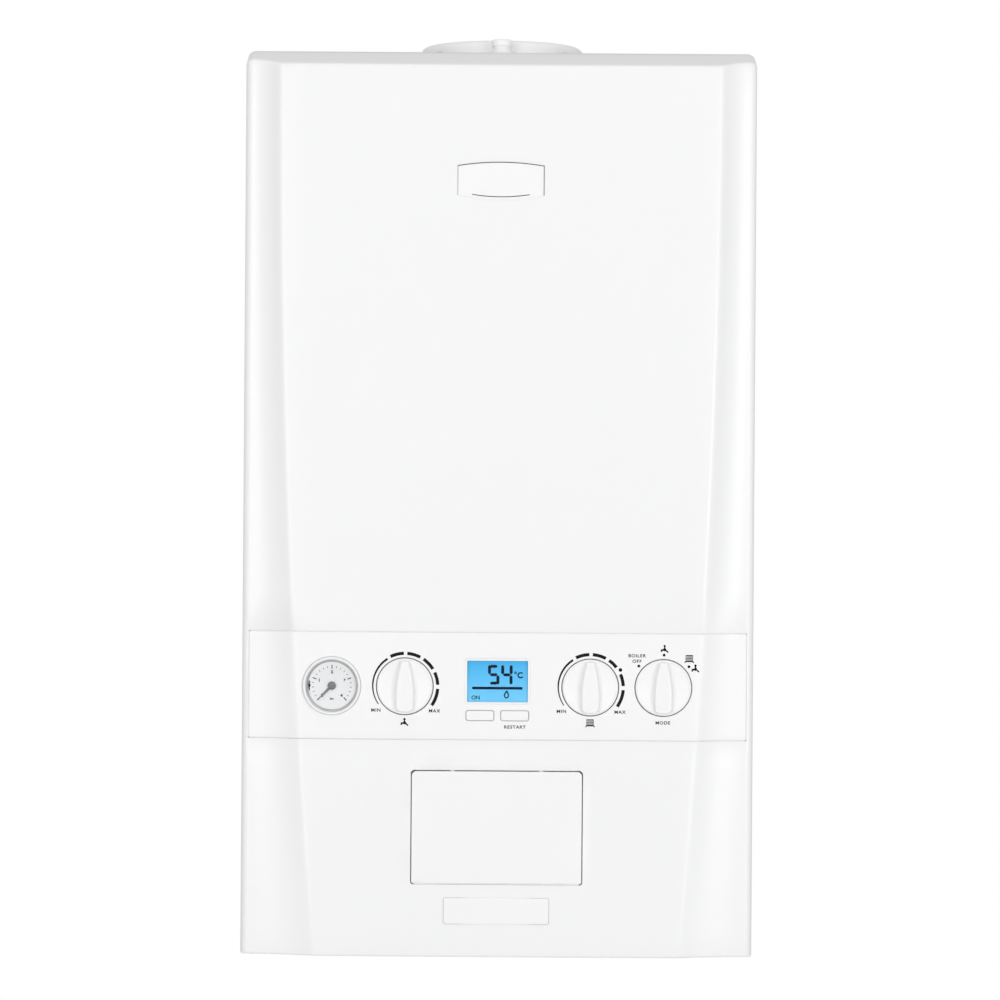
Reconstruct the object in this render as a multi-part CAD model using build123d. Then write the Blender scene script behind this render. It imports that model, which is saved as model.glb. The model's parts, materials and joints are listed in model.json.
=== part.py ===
from build123d import *
import math
import os

# Combi boiler, wall hung. Millimetres, +Z up, the front faces -Y, +X to the right.
# The origin is on the wall, at the middle of the lower edge of the case.

os.makedirs("parts", exist_ok=True)

# ---- driving dimensions: the case ----
case_width = 395.0
case_height = 700.0
case_depth = 278.0
sheet = 1.2                 # steel sheet of the case
seam_depth = 41.0           # how far the front panel's edges reach back
seam_gap = 0.8              # joint between the front panel and the rest of the case
corner_radius = 6.0         # upright front corners and the top corners
flank_drop = 13.0           # the outer corners lie this far behind the proud field
field_bow = 1.6             # the proud field is bowed by this much
cap_drop = 14.0             # the top of the front panel slopes up by this much
crease_foot = 140.0         # half width between the creases at the foot
crease_knee = 162.0         # and at knee_height
crease_top = 170.5          # and at the top
knee_height = 330.0
lip = 14.0                  # folded flanges
half_width = case_width / 2
seam_y = -(case_depth - seam_depth)

# ---- controls strip ----
strip_margin = 5.2          # painted steel left at each end of the strip
strip_gap = 1.0
strip_width = case_width - 2 * (strip_margin + strip_gap)
strip_height = 83.0
strip_mid = 208.5
strip_wall = 2.5
gauge_x = -127.5
water_knob_x = -71.3
heating_knob_x = 71.3
mode_knob_x = 127.5
dial_rise = -0.7            # height of knobs and gauge above the strip's middle line
knob_diameter = 43.7
knob_gap = 0.9
gauge_diameter = 44.6
gauge_fit = 0.2
display_width = 50.0
display_height = 35.0
display_rise = 3.5
display_fit = 0.25
button_width = 22.0
button_height = 8.0
button_x = 13.4
button_rise = -22.8
button_gap = 0.4
button_travel = 1.2

# ---- timer cover ----
timer_width = 132.5
timer_height = 87.0
timer_foot = 55.5
timer_gap = 1.0
timer_wall = 2.4
timer_corner = 3.5
timer_tab_x = 34.0
timer_tab_width = 3.0

# ---- control box ----
box_side_room = 21.5        # between the box and the side of the case
box_half_width = half_width - box_side_room
box_foot = 32.0
box_recess = 20.0           # the box's front edge lies this far behind the case's front
box_depth = 64.0
box_front = -case_depth + box_recess
box_back = box_front + box_depth
box_wall = 2.0
box_hinge_y = box_back - 6.0
box_hinge_z = 38.0
box_hinge_pin = 4.0         # radius of the trunnions
pin_clearance = 0.06

# ---- inside: combustion ----
duct_diameter = 64.0
air_diameter = 100.0
turret_axis_y = -120.0
turret_diameter = 134.0
turret_height = 16.0
hx_side_room = 67.5         # between the heat exchanger and the left side of the case
hx_front_room = 46.0
hx_head_room = 160.0
hx_back = -95.0
hx_foot = 330.0
duct_side_room = 89.5       # from the duct's middle to the right side of the case
duct_room = 48.0            # from the duct's middle to the heat exchanger
duct_x = half_width - duct_side_room
hx_left = -half_width + hx_side_room
hx_right = duct_x - duct_room
hx_front = -case_depth + hx_front_room
hx_top = case_height - hx_head_room
hx_mid_y = (hx_front + hx_back) / 2
sump_depth = 30.0
fan_depth = 46.0
fan_x = -duct_diameter / 2 - 56.0
fan_z = case_height - 76.0
fan_back = hx_mid_y + fan_depth / 2
fan_front = hx_mid_y - fan_depth / 2
impeller_diameter = 88.0

# ---- inside: water ----
tail_y = -75.0
tail_pitch = 65.0
tail_foot = 6.0
tray_height = 34.0
tray_sheet = 2.0


# ---- simple forms ----
def block(x_low, x_high, y_low, y_high, z_low, z_high):
    centre = Pos((x_low + x_high) / 2, (y_low + y_high) / 2, (z_low + z_high) / 2)
    return centre * Box(x_high - x_low, y_high - y_low, z_high - z_low)


def rod_z(x, y, z_low, z_high, diameter):
    return Pos(x, y, (z_low + z_high) / 2) * Cylinder(diameter / 2, z_high - z_low)


def rod_y(x, z, y_low, y_high, diameter):
    turned = Rot(90, 0, 0) * Cylinder(diameter / 2, y_high - y_low)
    return Pos(x, (y_low + y_high) / 2, z) * turned


def rod_x(y, z, x_low, x_high, diameter):
    turned = Rot(0, 90, 0) * Cylinder(diameter / 2, x_high - x_low)
    return Pos((x_low + x_high) / 2, y, z) * turned


def pipe(points, bend, outer, wall):
    """A bent pipe along points, every corner with the same bend radius."""
    path = FilletPolyline(*points, radius=bend) if len(points) > 2 else Line(*points)
    start = Plane(origin=path @ 0, z_dir=path % 0)
    ring = Circle(outer / 2) - Circle(outer / 2 - wall)
    return sweep(start * ring, path=path)


def rounded_slab(width, height, corner, x, z, y_front, y_back):
    """A plate in the X-Z plane with rounded corners, from y_front back to y_back."""
    face = Plane.XZ * RectangleRounded(width, height, corner)
    return Pos(x, y_back, z) * extrude(face, y_back - y_front)


nodes = {}


def save(name, shape):
    nodes[name] = shape


# ---- outer skin of the front ----
strip_low = strip_mid - strip_height / 2
strip_high = strip_mid + strip_height / 2


def crease_half(z):
    """Half width between the creases at height z, a parabola through three heights."""
    low_slope = (crease_knee - crease_foot) / knee_height
    high_slope = (crease_top - crease_knee) / (case_height - knee_height)
    bend = (high_slope - low_slope) / case_height
    return crease_foot + low_slope * z + bend * z * (z - knee_height)


def plan_outline(z, inset):
    """Closed plan of the front panel at height z, set in by the sheet's thickness."""
    crease = crease_half(z) - inset * 0.3
    side = half_width - inset
    radius = corner_radius - inset
    front = -case_depth + inset
    flank_y = front + flank_drop
    crease_y = front + field_bow
    turn = radius * (1 - math.sqrt(0.5))
    flank_x = side - radius
    mid_x = (crease + flank_x) / 2
    mid_y = flank_y - (flank_y - crease_y) * 0.3
    right_side = Line((side, seam_y), (side, flank_y + radius))
    right_corner = ThreePointArc((side, flank_y + radius), (side - turn, flank_y + turn), (flank_x, flank_y))
    right_flank = ThreePointArc((flank_x, flank_y), (mid_x, mid_y), (crease, crease_y))
    field = ThreePointArc((crease, crease_y), (0, front), (-crease, crease_y))
    left_flank = ThreePointArc((-crease, crease_y), (-mid_x, mid_y), (-flank_x, flank_y))
    corner_end = (-side, flank_y + radius)
    left_corner = ThreePointArc((-flank_x, flank_y), (-side + turn, flank_y + turn), corner_end)
    left_side = Line((-side, flank_y + radius), (-side, seam_y))
    back = Line((-side, seam_y), (side, seam_y))
    edges = [right_side, right_corner, right_flank, field, left_flank, left_corner, left_side, back]
    return Plane.XY.offset(z) * make_face(edges)


def front_form(inset):
    """The solid whose outside is the outside of the front panel, set in by inset."""
    levels = 4
    heights = [inset + (case_height - inset) * level / levels for level in range(levels + 1)]
    body = loft([plan_outline(z, inset) for z in heights])
    side = half_width - inset
    top = case_height - inset
    arch = Polyline((-side, -lip), (side, -lip), (side, top), (-side, top), close=True)
    window = Pos(0, seam_y / 2, 0) * extrude(Plane.XZ * make_face(arch), case_depth)
    window = fillet(window.edges().filter_by(Axis.Y).group_by(Axis.Z)[-1], corner_radius - inset)
    reach = seam_depth + lip
    slope_foot = top - cap_drop * reach / seam_depth
    profile = Polyline(
        (0, inset), (seam_y - reach, inset), (seam_y - reach, slope_foot), (seam_y, top), (0, top), close=True
    )
    cap = extrude(Plane.YZ * make_face(profile), case_width, both=True)
    return body & window & cap


outer_form = front_form(0)
inner_form = front_form(sheet)


# ---- front panel: one pressing, with the openings for the controls strip and the timer cover ----
strip_opening = block(
    -strip_width / 2 - strip_gap,
    strip_width / 2 + strip_gap,
    -case_depth * 2,
    seam_y - sheet * 2,
    strip_low - strip_gap,
    strip_high + strip_gap,
)
timer_mid = timer_foot + timer_height / 2
timer_opening = rounded_slab(
    timer_width + 2 * timer_gap,
    timer_height + 2 * timer_gap,
    timer_corner + timer_gap,
    0,
    timer_mid,
    -case_depth * 2,
    seam_y,
)
foot_opening = block(
    -half_width + lip, half_width - lip, -case_depth + lip + flank_drop, 0, -sheet, 2 * sheet
)
stud_x = half_width - 11.5
stud_heights = [120.0, case_height - 80.0]
stud_diameter = 6.0
stud_tip = seam_y + 9.0
flange_y = seam_y + seam_gap


def stud(x, z):
    shank = rod_y(x, z, -case_depth, stud_tip, stud_diameter)
    foot = rod_y(x, z, -case_depth, -case_depth + flank_drop + 4, stud_diameter + 5)
    return (shank + foot) & inner_form


def panel_stud(x, z):
    """A stud welded behind the flank: its tip reaches past the panel's rear edge."""
    tip = rod_y(x, z, seam_y - 0.5, stud_tip, stud_diameter)
    return stud(x, z) + tip


front_panel = outer_form - inner_form - strip_opening - timer_opening - foot_opening
for z in stud_heights:
    for side in (-1, 1):
        front_panel += panel_stud(side * stud_x, z)
save("front_panel", front_panel)

# ---- timer cover: a flush flap, hinged on two pins at its foot, held by two tabs at its head ----
timer_hinge_z = timer_foot + 5.4
timer_hinge_y = -case_depth + 5.2
timer_pin = 2.6
timer_hinge_x = 52.0
timer_ear_radius = 2.4
timer_ear_half = 1.2
timer_ear_x = 6.5           # from the middle of a knuckle to the ear beside it
timer_knuckle_half = 4.0
timer_pin_reach = 5.0
timer_foot_round = 1.2
timer_ear_reach = 10.4
frame_back = -case_depth + 14.0
frame_border = 9.0
timer_foot_room = 3.4
cover_plate = rounded_slab(timer_width, timer_height, timer_corner, 0, timer_mid, -case_depth * 2, seam_y)
timer_cover = (outer_form & cover_plate) - front_form(timer_wall)
foot_edges = timer_cover.edges().filter_by(lambda edge: edge.center().Z < timer_foot + 0.1)
timer_cover = fillet(foot_edges.sort_by(Axis.Y)[0], timer_foot_round)
for side in (-1, 1):
    knuckle_low = side * timer_hinge_x - timer_knuckle_half
    knuckle_high = side * timer_hinge_x + timer_knuckle_half
    pin_low, pin_high = knuckle_low - timer_pin_reach, knuckle_high + timer_pin_reach
    knuckle = rod_x(timer_hinge_y, timer_hinge_z, knuckle_low, knuckle_high, timer_pin + timer_wall)
    web = block(
        knuckle_low,
        knuckle_high,
        -case_depth + timer_wall,
        timer_hinge_y,
        timer_hinge_z - timer_wall / 2,
        timer_hinge_z + timer_wall / 2,
    )
    pin = rod_x(timer_hinge_y, timer_hinge_z, pin_low, pin_high, timer_pin)
    timer_cover += knuckle + web + pin
    tab_x = side * timer_tab_x
    tab_top = timer_foot + timer_height + timer_gap * 0.6
    timer_cover += block(
        tab_x - timer_tab_width / 2,
        tab_x + timer_tab_width / 2,
        -case_depth + 0.8,
        -case_depth + timer_wall,
        tab_top - 4,
        tab_top,
    )
save("timer_cover", timer_cover)

timer_back = -case_depth + sheet + field_bow * 0.35
timer_frame = block(
    -timer_width / 2 - frame_border,
    timer_width / 2 + frame_border,
    timer_back - sheet,
    frame_back,
    timer_foot - frame_border,
    timer_foot + timer_height + frame_border,
)
timer_frame &= inner_form
timer_frame -= block(
    -timer_width / 2 - timer_gap,
    timer_width / 2 + timer_gap,
    -case_depth,
    0,
    timer_foot - timer_foot_room,
    timer_foot + timer_height + timer_gap,
)
for side in (-1, 1):
    for edge in (-1, 1):
        x = side * timer_hinge_x + edge * timer_ear_x
        low, high = x - timer_ear_half, x + timer_ear_half
        foot = timer_foot - frame_border
        back = timer_hinge_y + timer_ear_reach
        ear = rod_x(timer_hinge_y, timer_hinge_z, low, high, 2 * timer_ear_radius)
        ear += block(low, high, timer_hinge_y, back, timer_hinge_z - 2.2, timer_hinge_z + timer_ear_radius)
        ear += block(low, high, back - 3, back, foot, timer_hinge_z)
        ear += block(low, high, frame_back - 3, back, foot, timer_foot - timer_foot_room)
        ear -= rod_x(timer_hinge_y, timer_hinge_z, low - 5, high + 5, timer_pin + 2 * pin_clearance)
        timer_frame += ear
save("timer_frame", timer_frame)

# ---- case: top, sides and back, one folded sheet each ----
side_split = case_height - 26.0


def case_ring(inset, y_front, y_back):
    """Upright block with the case's outline, set in by inset, from y_front to y_back."""
    side = half_width - inset
    top = case_height - inset
    outline = Polyline((-side, 0), (side, 0), (side, top), (-side, top), close=True)
    ring = Pos(0, y_back, 0) * extrude(Plane.XZ * make_face(outline), y_back - y_front)
    return fillet(ring.edges().filter_by(Axis.Y).group_by(Axis.Z)[-1], corner_radius - inset)


case_shell = case_ring(0, flange_y, 0) - case_ring(sheet, flange_y + sheet, -sheet)
shell_inside = block(-half_width + lip, half_width - lip, -case_depth, -sheet, -lip, case_height - lip)
case_shell -= shell_inside & block(-case_width, case_width, flange_y - 1, flange_y + sheet, -lip, case_height)
top_half = block(-case_width, case_width, -case_depth, -sheet, side_split, case_height * 2)
turret_bore = air_diameter + 0.8
top_hole = rod_z(0, turret_axis_y, case_height - lip, case_height + lip, turret_bore)
save("top_panel", (case_shell & top_half) - top_hole)
for side, name in ((-1, "left_side_panel"), (1, "right_side_panel")):
    half = block(0, case_width, -case_depth, -sheet, 0, side_split)
    panel = case_shell & (half if side > 0 else mirror(half, about=Plane.YZ))
    foot_lip = block(half_width - lip, half_width - sheet, flange_y + sheet, -sheet, 0, sheet)
    panel += foot_lip if side > 0 else mirror(foot_lip, about=Plane.YZ)
    clip_x = side * stud_x
    for z in stud_heights:
        panel -= rod_y(clip_x, z, flange_y - 1, flange_y + sheet + 1, stud_diameter + 5)
    save(name, panel)

panel_clips = Part()
for z in stud_heights:
    for side in (-1, 1):
        ring = rod_y(side * stud_x, z, flange_y, flange_y + 7, stud_diameter + 4.8)
        ring += rod_y(side * stud_x, z, flange_y + sheet, flange_y + 2.2, stud_diameter + 8)
        panel_clips += ring - rod_y(side * stud_x, z, flange_y - 1, flange_y + 12, stud_diameter + 0.2)
save("panel_clips", panel_clips)

bracket_half_width = half_width - 47.5
bracket_foot = case_height - 74.0
bracket_height = 46.0
recess_half_width = bracket_half_width + 15.0
recess_foot = bracket_foot - 8.0
recess_top = case_height - 10.0
recess_depth = 15.0
back_panel = case_ring(0, -sheet, 0)
recess = block(-recess_half_width, recess_half_width, -recess_depth, 0, recess_foot, recess_top)
recess_hollow = block(
    -recess_half_width + sheet,
    recess_half_width - sheet,
    -recess_depth + sheet,
    0,
    recess_foot + sheet,
    recess_top - sheet,
)
back_panel = back_panel + recess - recess_hollow

# ---- wall bracket: a plate with four screw holes and two upturned hooks ----
bracket_sheet = 2.5
bracket_hole = 8.0
bracket_hole_outer = bracket_half_width - 20.0
bracket_hole_x = [-bracket_hole_outer, -60.0, 60.0, bracket_hole_outer]
bracket_hole_z = bracket_foot + bracket_height / 2
hook_x = 100.0
hook_half_width = 15.0
hook_z = bracket_hole_z + 6.0
hook_rise = 9.0
hook_clearance = 0.3
wall_bracket = block(
    -bracket_half_width, bracket_half_width, -bracket_sheet, 0, bracket_foot, bracket_foot + bracket_height
)
for x in bracket_hole_x:
    wall_bracket -= rod_y(x, bracket_hole_z, -lip, lip, bracket_hole)
hook_tip = -recess_depth - hook_clearance
for side in (-1, 1):
    x_low = side * hook_x - hook_half_width
    x_high = side * hook_x + hook_half_width
    arm = block(x_low, x_high, hook_tip - bracket_sheet, -bracket_sheet, hook_z, hook_z + bracket_sheet)
    hook_top = hook_z + bracket_sheet + hook_rise
    wall_bracket += arm + block(x_low, x_high, hook_tip - bracket_sheet, hook_tip, hook_z, hook_top)
    slot_back = -recess_depth + sheet + 1
    slot_foot, slot_top = hook_z - 1, hook_z + bracket_sheet
    back_panel -= block(x_low - 2, x_high + 2, -recess_depth - 1, slot_back, slot_foot, slot_top)
save("wall_bracket", wall_bracket)

# ---- pipe tails, in the usual order, and the tray that they pass through ----
heating_tail = 22.0
water_tail = 15.0
gas_tail = 22.0
condensate_tail = 21.5
tail_wall = 1.0
tail_clearance = 1.0
flow_x = -2 * tail_pitch
hot_x = -tail_pitch
gas_x = 0.0
cold_x = tail_pitch
return_x = 2 * tail_pitch
trap_x = hx_left + 19.0
trap_y = -140.0
relief_x = 96.0
relief_y = -107.0
tails = {
    "flow": (flow_x, tail_y, heating_tail),
    "hot": (hot_x, tail_y, water_tail),
    "gas": (gas_x, tail_y, gas_tail),
    "cold": (cold_x, tail_y, water_tail),
    "return": (return_x, tail_y, heating_tail),
    "relief": (relief_x, relief_y, water_tail),
    "condensate": (trap_x, trap_y, condensate_tail),
}
tray_front = box_back + 6.0
ear_sheet = 2.0
ear_x = box_half_width + 3.0
tray = block(
    -half_width + sheet, half_width - sheet, tray_front, -sheet, tray_height, tray_height + tray_sheet
)
for x, y, diameter in tails.values():
    tray -= rod_z(x, y, 0, tray_height + lip, diameter + 2 * tail_clearance)
for side in (-1, 1):
    low = side * ear_x - ear_sheet / 2
    ear = block(low, low + ear_sheet, box_hinge_y - 8, tray_front + 10, tray_height - 8, tray_height + 16)
    trunnion_bore = 2 * box_hinge_pin + 2 * pin_clearance
    tray += ear - rod_x(box_hinge_y, box_hinge_z, side * ear_x - 5, side * ear_x + 5, trunnion_bore)
tray += block(-half_width + sheet, half_width - sheet, -2 * sheet, -sheet, tray_height, tray_height + lip)
save("bottom_tray", tray)
save("back_panel", back_panel)

# ---- flue turret: a moulded collar with the flue and air sockets, on a seal ----
seal_height = 2.0
flange_height = 3.0
turret_shoulder = 5.0
turret_foot = case_height + seal_height
turret_top = case_height + turret_height
turret_radius = turret_diameter / 2
ear_reach = 71.0
ear_radius = 7.5
screw_diameter = 4.0
stub_diameter = 17.5
wall_inset = 2.0
stub_y = turret_axis_y - turret_radius + wall_inset - stub_diameter / 2 - 0.5
ear_places = []
for quarter in range(4):
    angle = math.radians(45 + 90 * quarter)
    ear_places.append((ear_reach * math.cos(angle), turret_axis_y + ear_reach * math.sin(angle)))


def collar_outline(z_low, z_high):
    """Round flange with four ears and the boss of the sampling point."""
    form = rod_z(0, turret_axis_y, z_low, z_high, turret_diameter)
    for x, y in ear_places:
        form += rod_z(x, y, z_low, z_high, 2 * ear_radius)
    return form + rod_z(0, stub_y, z_low, z_high, stub_diameter + 4)


air_bore = rod_z(0, turret_axis_y, 0, case_height * 2, turret_bore)
flue_seal = collar_outline(case_height, turret_foot) - air_bore
turret = collar_outline(turret_foot, turret_foot + flange_height)
wall = rod_z(0, turret_axis_y, turret_foot, turret_top, turret_diameter - 2 * wall_inset)
turret += fillet(wall.edges().group_by(Axis.Z)[-1], turret_shoulder)
stub_top = turret_top - 2.5
turret += rod_z(0, stub_y, turret_foot, stub_top, stub_diameter - 3)
sample_bore = 8.0
air_socket_stop = 4.0
turret -= air_bore
socket_stop = rod_z(0, turret_axis_y, turret_foot, turret_foot + air_socket_stop, turret_bore)
turret += socket_stop - rod_z(0, turret_axis_y, turret_foot - 1, turret_foot + lip, air_diameter - 6)
sample_hole = rod_z(0, stub_y, turret_foot + flange_height, stub_top + 1, sample_bore)
turret -= sample_hole
for x, y in ear_places:
    hole = rod_z(x, y, case_height - 10, turret_top, screw_diameter)
    turret -= hole
    flue_seal -= hole
    nodes["top_panel"] -= hole
save("flue_turret", turret)

cap = rod_z(0, stub_y, stub_top, stub_top + 4, stub_diameter)
cap = fillet(cap.edges().group_by(Axis.Z)[-1], 2.0)
cap += rod_z(0, stub_y, stub_top - 4, stub_top, sample_bore - 0.1)
save("sampling_cap", cap)

turret_screws = Part()
for x, y in ear_places:
    head_foot = turret_foot + flange_height
    head = fillet(rod_z(x, y, head_foot, head_foot + 3, 8.5).edges().group_by(Axis.Z)[-1], 1.4)
    turret_screws += head + rod_z(x, y, case_height - 6, head_foot, screw_diameter - 0.1)

# ---- flue duct: from the turret's inner socket, bending down beside the heat exchanger ----
duct_wall = 1.8
duct_y = turret_axis_y - 11.0
duct_rim = 4.0              # below the turret's rim
duct_drop = 52.0            # from the top of the case to the first bend's corner
duct_slope = 73.0           # between the two corners
sump_foot = hx_foot - sump_depth
first_corner_z = case_height - duct_drop
duct_path = [
    (0, turret_axis_y, turret_top - duct_rim),
    (0, turret_axis_y, first_corner_z),
    (duct_x, duct_y, first_corner_z - duct_slope),
    (duct_x, duct_y, hx_foot),
]
duct_bend = 42.0
save("flue_duct", pipe(duct_path, duct_bend, duct_diameter, duct_wall))
first_run, second_run = (Vector(*duct_path[corner + 1]) - Vector(*duct_path[corner]) for corner in (0, 1))
bend_reach = duct_bend * math.tan(math.radians(first_run.get_angle(second_run)) / 2)
flue_socket_length = first_run.length - bend_reach
flue_socket_mid = duct_path[0][2] - flue_socket_length / 2

# ---- heat exchanger: a cast block with a flue way through it and ribs round its outside ----
hx_wall = 12.0
rib_count = 9
rib_height = 4.0
rib_reach = 5.0
heat_exchanger = block(
    hx_left + rib_reach, hx_right - rib_reach, hx_front + rib_reach, hx_back - rib_reach, hx_foot, hx_top
)
rib_pitch = (hx_top - hx_foot - rib_height) / (rib_count - 1)
for rib in range(rib_count):
    foot = hx_foot + rib * rib_pitch
    heat_exchanger += block(hx_left, hx_right, hx_front, hx_back, foot, foot + rib_height)
heat_exchanger -= block(
    hx_left + rib_reach + hx_wall,
    hx_right - rib_reach - hx_wall,
    hx_front + rib_reach + hx_wall,
    hx_back - rib_reach - hx_wall,
    hx_foot - 1,
    hx_top + 1,
)
flow_port_z = hx_top - 30.0
return_port_z = hx_foot + 26.0
port_y = hx_mid_y - 1.5
return_port_y = hx_front + 32.0
port_diameter = 26.0
port_reach = 6.0
heating_pipe = 18.0
flow_port_x = hx_left - port_reach
return_port_x = hx_right + port_reach
heat_exchanger += rod_x(port_y, flow_port_z, flow_port_x, hx_left + rib_reach + 1, port_diameter)
heat_exchanger += rod_x(return_port_y, return_port_z, hx_right - rib_reach - 1, return_port_x, port_diameter)
save("heat_exchanger", heat_exchanger)

# ---- rails that carry the heat exchanger from side to side of the case ----
rail_sheet = 2.0
rail_height = 28.0
rail_wing = 22.0
rail_feet = [hx_foot + 18.0, hx_top - 42.0]
rail_back = hx_back + rail_sheet
rail_end = half_width - sheet
support_rails = Part()
for foot in rail_feet:
    rail = block(-rail_end, rail_end, hx_back, rail_back, foot, foot + rail_height)
    for side in (-1, 1):
        wing = block(rail_end - rail_sheet, rail_end, hx_back, hx_back + rail_wing, foot, foot + rail_height)
        rail += wing if side > 0 else mirror(wing, about=Plane.YZ)
    support_rails += rail
save("support_rails", support_rails)

# ---- sump: collects condensate under the block and leads the flue gas to the duct ----
sump_right = duct_x + duct_diameter / 2 + 6
sump_wall = 3.0
drain_diameter = 24.0
drain_foot = sump_foot - 14
sump = block(hx_left, sump_right, hx_front + 6, hx_back, sump_foot, hx_foot)
sump = fillet(sump.edges().filter_by(Axis.Z), 12)
sump -= block(
    hx_left + sump_wall,
    sump_right - sump_wall,
    hx_front + 6 + sump_wall,
    hx_back - sump_wall,
    sump_foot + sump_wall,
    hx_foot - sump_wall,
)
sump -= block(hx_left + 20, hx_right - 20, hx_front + 22, hx_back - 20, hx_foot - 2 * sump_wall, hx_foot + 1)
sump -= rod_z(duct_x, duct_y, hx_foot - 2 * sump_wall, hx_foot + 1, duct_diameter - 2 * duct_wall)
sump += rod_z(trap_x, trap_y, drain_foot, sump_foot + 1, drain_diameter)
save("sump", sump)

# ---- combustion cover, its seal, burner and electrode ----
seal_sheet = 2.0
cover_foot = hx_top + seal_sheet
cover_height = 10.0
cover_top = cover_foot + cover_height
fan_outlet_x = fan_x + 36.0
fan_outlet_half = 18.0
cover_inset = 2.0
cover_left = hx_left + cover_inset
cover_right = hx_right - cover_inset
cover_front = hx_front + cover_inset
cover_back = hx_back - cover_inset
inlet_hole = block(
    fan_outlet_x - fan_outlet_half + 4,
    fan_outlet_x + fan_outlet_half - 4,
    fan_front + 5,
    fan_back - 5,
    hx_top - 40,
    cover_top + 1,
)
electrode_x = hx_right - 26.0
electrode_y = hx_front + 27.0
electrode_diameter = 9.0
electrode_hole = rod_z(electrode_x, electrode_y, hx_top - 5, cover_top + 5, electrode_diameter + 0.6)
cover = block(cover_left, cover_right, cover_front, cover_back, cover_foot, cover_top)
cover = fillet(cover.edges().filter_by(Axis.Z), 8)
cover = chamfer(cover.edges().group_by(Axis.Z)[-1], 2)
save("combustion_cover", cover - inlet_hole - electrode_hole)
seal = block(cover_left, cover_right, cover_front, cover_back, hx_top, cover_foot)
chamber = block(
    hx_left + rib_reach + hx_wall,
    hx_right - rib_reach - hx_wall,
    hx_front + rib_reach + hx_wall,
    hx_back - rib_reach - hx_wall,
    hx_top - 1,
    cover_foot + 1,
)
save("gaskets", flue_seal + (seal - chamber))
burner_radius = 28.0
burner_wall = 1.5
burner_mid_x = (hx_left + hx_right) / 2 - 12
burner_flange_x = (hx_right - hx_left) / 2 - 31
burner_flange_y = (hx_back - hx_front) / 2 - 24.5
drum_low = burner_mid_x - burner_flange_x + 12
drum_high = burner_mid_x + burner_flange_x - 12
burner = rod_x(hx_mid_y, hx_top, drum_low, drum_high, 2 * burner_radius)
burner -= rod_x(hx_mid_y, hx_top, drum_low + 2, drum_high - 2, 2 * (burner_radius - burner_wall))
burner_flange = block(
    burner_mid_x - burner_flange_x,
    burner_mid_x + burner_flange_x,
    hx_mid_y - burner_flange_y,
    hx_mid_y + burner_flange_y,
    hx_top,
    cover_foot,
)
burner += burner_flange - block(
    drum_low + 6, drum_high - 6, hx_mid_y - 24, hx_mid_y + 24, hx_top - 1, cover_foot + 1
)
burner &= block(-case_width, case_width, -case_depth, 0, 0, cover_foot)
save("burner", burner)
electrode = rod_z(electrode_x, electrode_y, hx_top - 4, cover_top + 16, electrode_diameter)
electrode += rod_z(electrode_x, electrode_y, cover_top, cover_top + 5, 20)
electrode += rod_z(electrode_x, electrode_y, hx_top - 40, hx_top - 4, 2.4)
save("ignition_electrode", electrode)
nut_inset = 9.0
cover_nuts = Part()
for x in (cover_left + nut_inset, cover_right - nut_inset):
    for y in (cover_front + nut_inset, hx_mid_y, cover_back - nut_inset):
        cover_nuts += Pos(x, y, cover_top) * extrude(RegularPolygon(6.2, 6), 5)
save("screws_and_nuts", turret_screws + cover_nuts)

# ---- fan: volute, cover with the inlet, impeller and motor, standing on the combustion cover ----
volute_small = 49.5          # radius at the tongue
volute_large = 57.0         # radius a full turn later
volute_tongue = -65.0       # where the spiral starts, seen from the front
fan_wall = 3.0
fan_cover_sheet = 4.0
outlet_foot = cover_top
volute_back = fan_back
volute_front = fan_front + fan_cover_sheet


def volute_form(grow, y_front, y_back):
    """A spiral that widens clockwise towards its neck, grown by grow all round."""
    steps = 12
    points = []
    for step in range(steps + 1):
        angle = math.radians(volute_tongue - 360 * step / steps)
        radius = volute_small + (volute_large - volute_small) * step / steps + grow
        points.append((radius * math.cos(angle), radius * math.sin(angle)))
    spiral = Spline(*points)
    face = Plane.XZ * make_face([spiral, Line(points[-1], points[0])])
    scroll = Pos(fan_x, y_back, fan_z) * extrude(face, y_back - y_front)
    low, high = fan_outlet_x - fan_outlet_half - grow, fan_outlet_x + fan_outlet_half + grow
    return scroll + block(low, high, y_front, y_back, outlet_foot, fan_z)


fan_housing = volute_form(0, volute_front, volute_back)
fan_housing -= volute_form(-fan_wall, volute_front - 1, volute_back - fan_wall)
fan_inside = block(-case_width, case_width, volute_front, volute_back - fan_wall, 0, case_height)
fan_housing -= inlet_hole & fan_inside
neck_low = fan_outlet_x - fan_outlet_half
neck_high = fan_outlet_x + fan_outlet_half
fan_housing -= block(
    neck_low + fan_wall,
    neck_high - fan_wall,
    volute_front - 1,
    volute_back - fan_wall,
    outlet_foot - 1,
    fan_z,
)
fan_housing += block(
    neck_low - 8, neck_high + 8, volute_front, volute_back + 6, outlet_foot, outlet_foot + 4
) - inlet_hole
shaft_diameter = 6.0
fan_housing -= rod_y(fan_x, fan_z, volute_back - 2 * fan_wall, volute_back + 5, shaft_diameter + 4)
save("fan_housing", fan_housing)
inlet_diameter = 46.0
fan_inlet = rod_y(fan_x, fan_z, fan_front - 1, volute_front + 1, inlet_diameter)
save("fan_cover", volute_form(0, fan_front, volute_front) - fan_inlet)
impeller_front = volute_front + 4
impeller_back = volute_back - fan_wall - 4
blade_count = 12
impeller = rod_y(fan_x, fan_z, impeller_back - 2, impeller_back, impeller_diameter)
impeller += rod_y(fan_x, fan_z, impeller_back - 14, impeller_back, 22)
blade_middle = (impeller_diameter / 2 + 14) / 2
blade_sheet = 1.6
blade = Box(impeller_diameter / 2 - 18, blade_sheet, impeller_back - impeller_front - 1)
blade = Pos(blade_middle, 0, 0) * Rot(0, 0, 24) * blade
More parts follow.
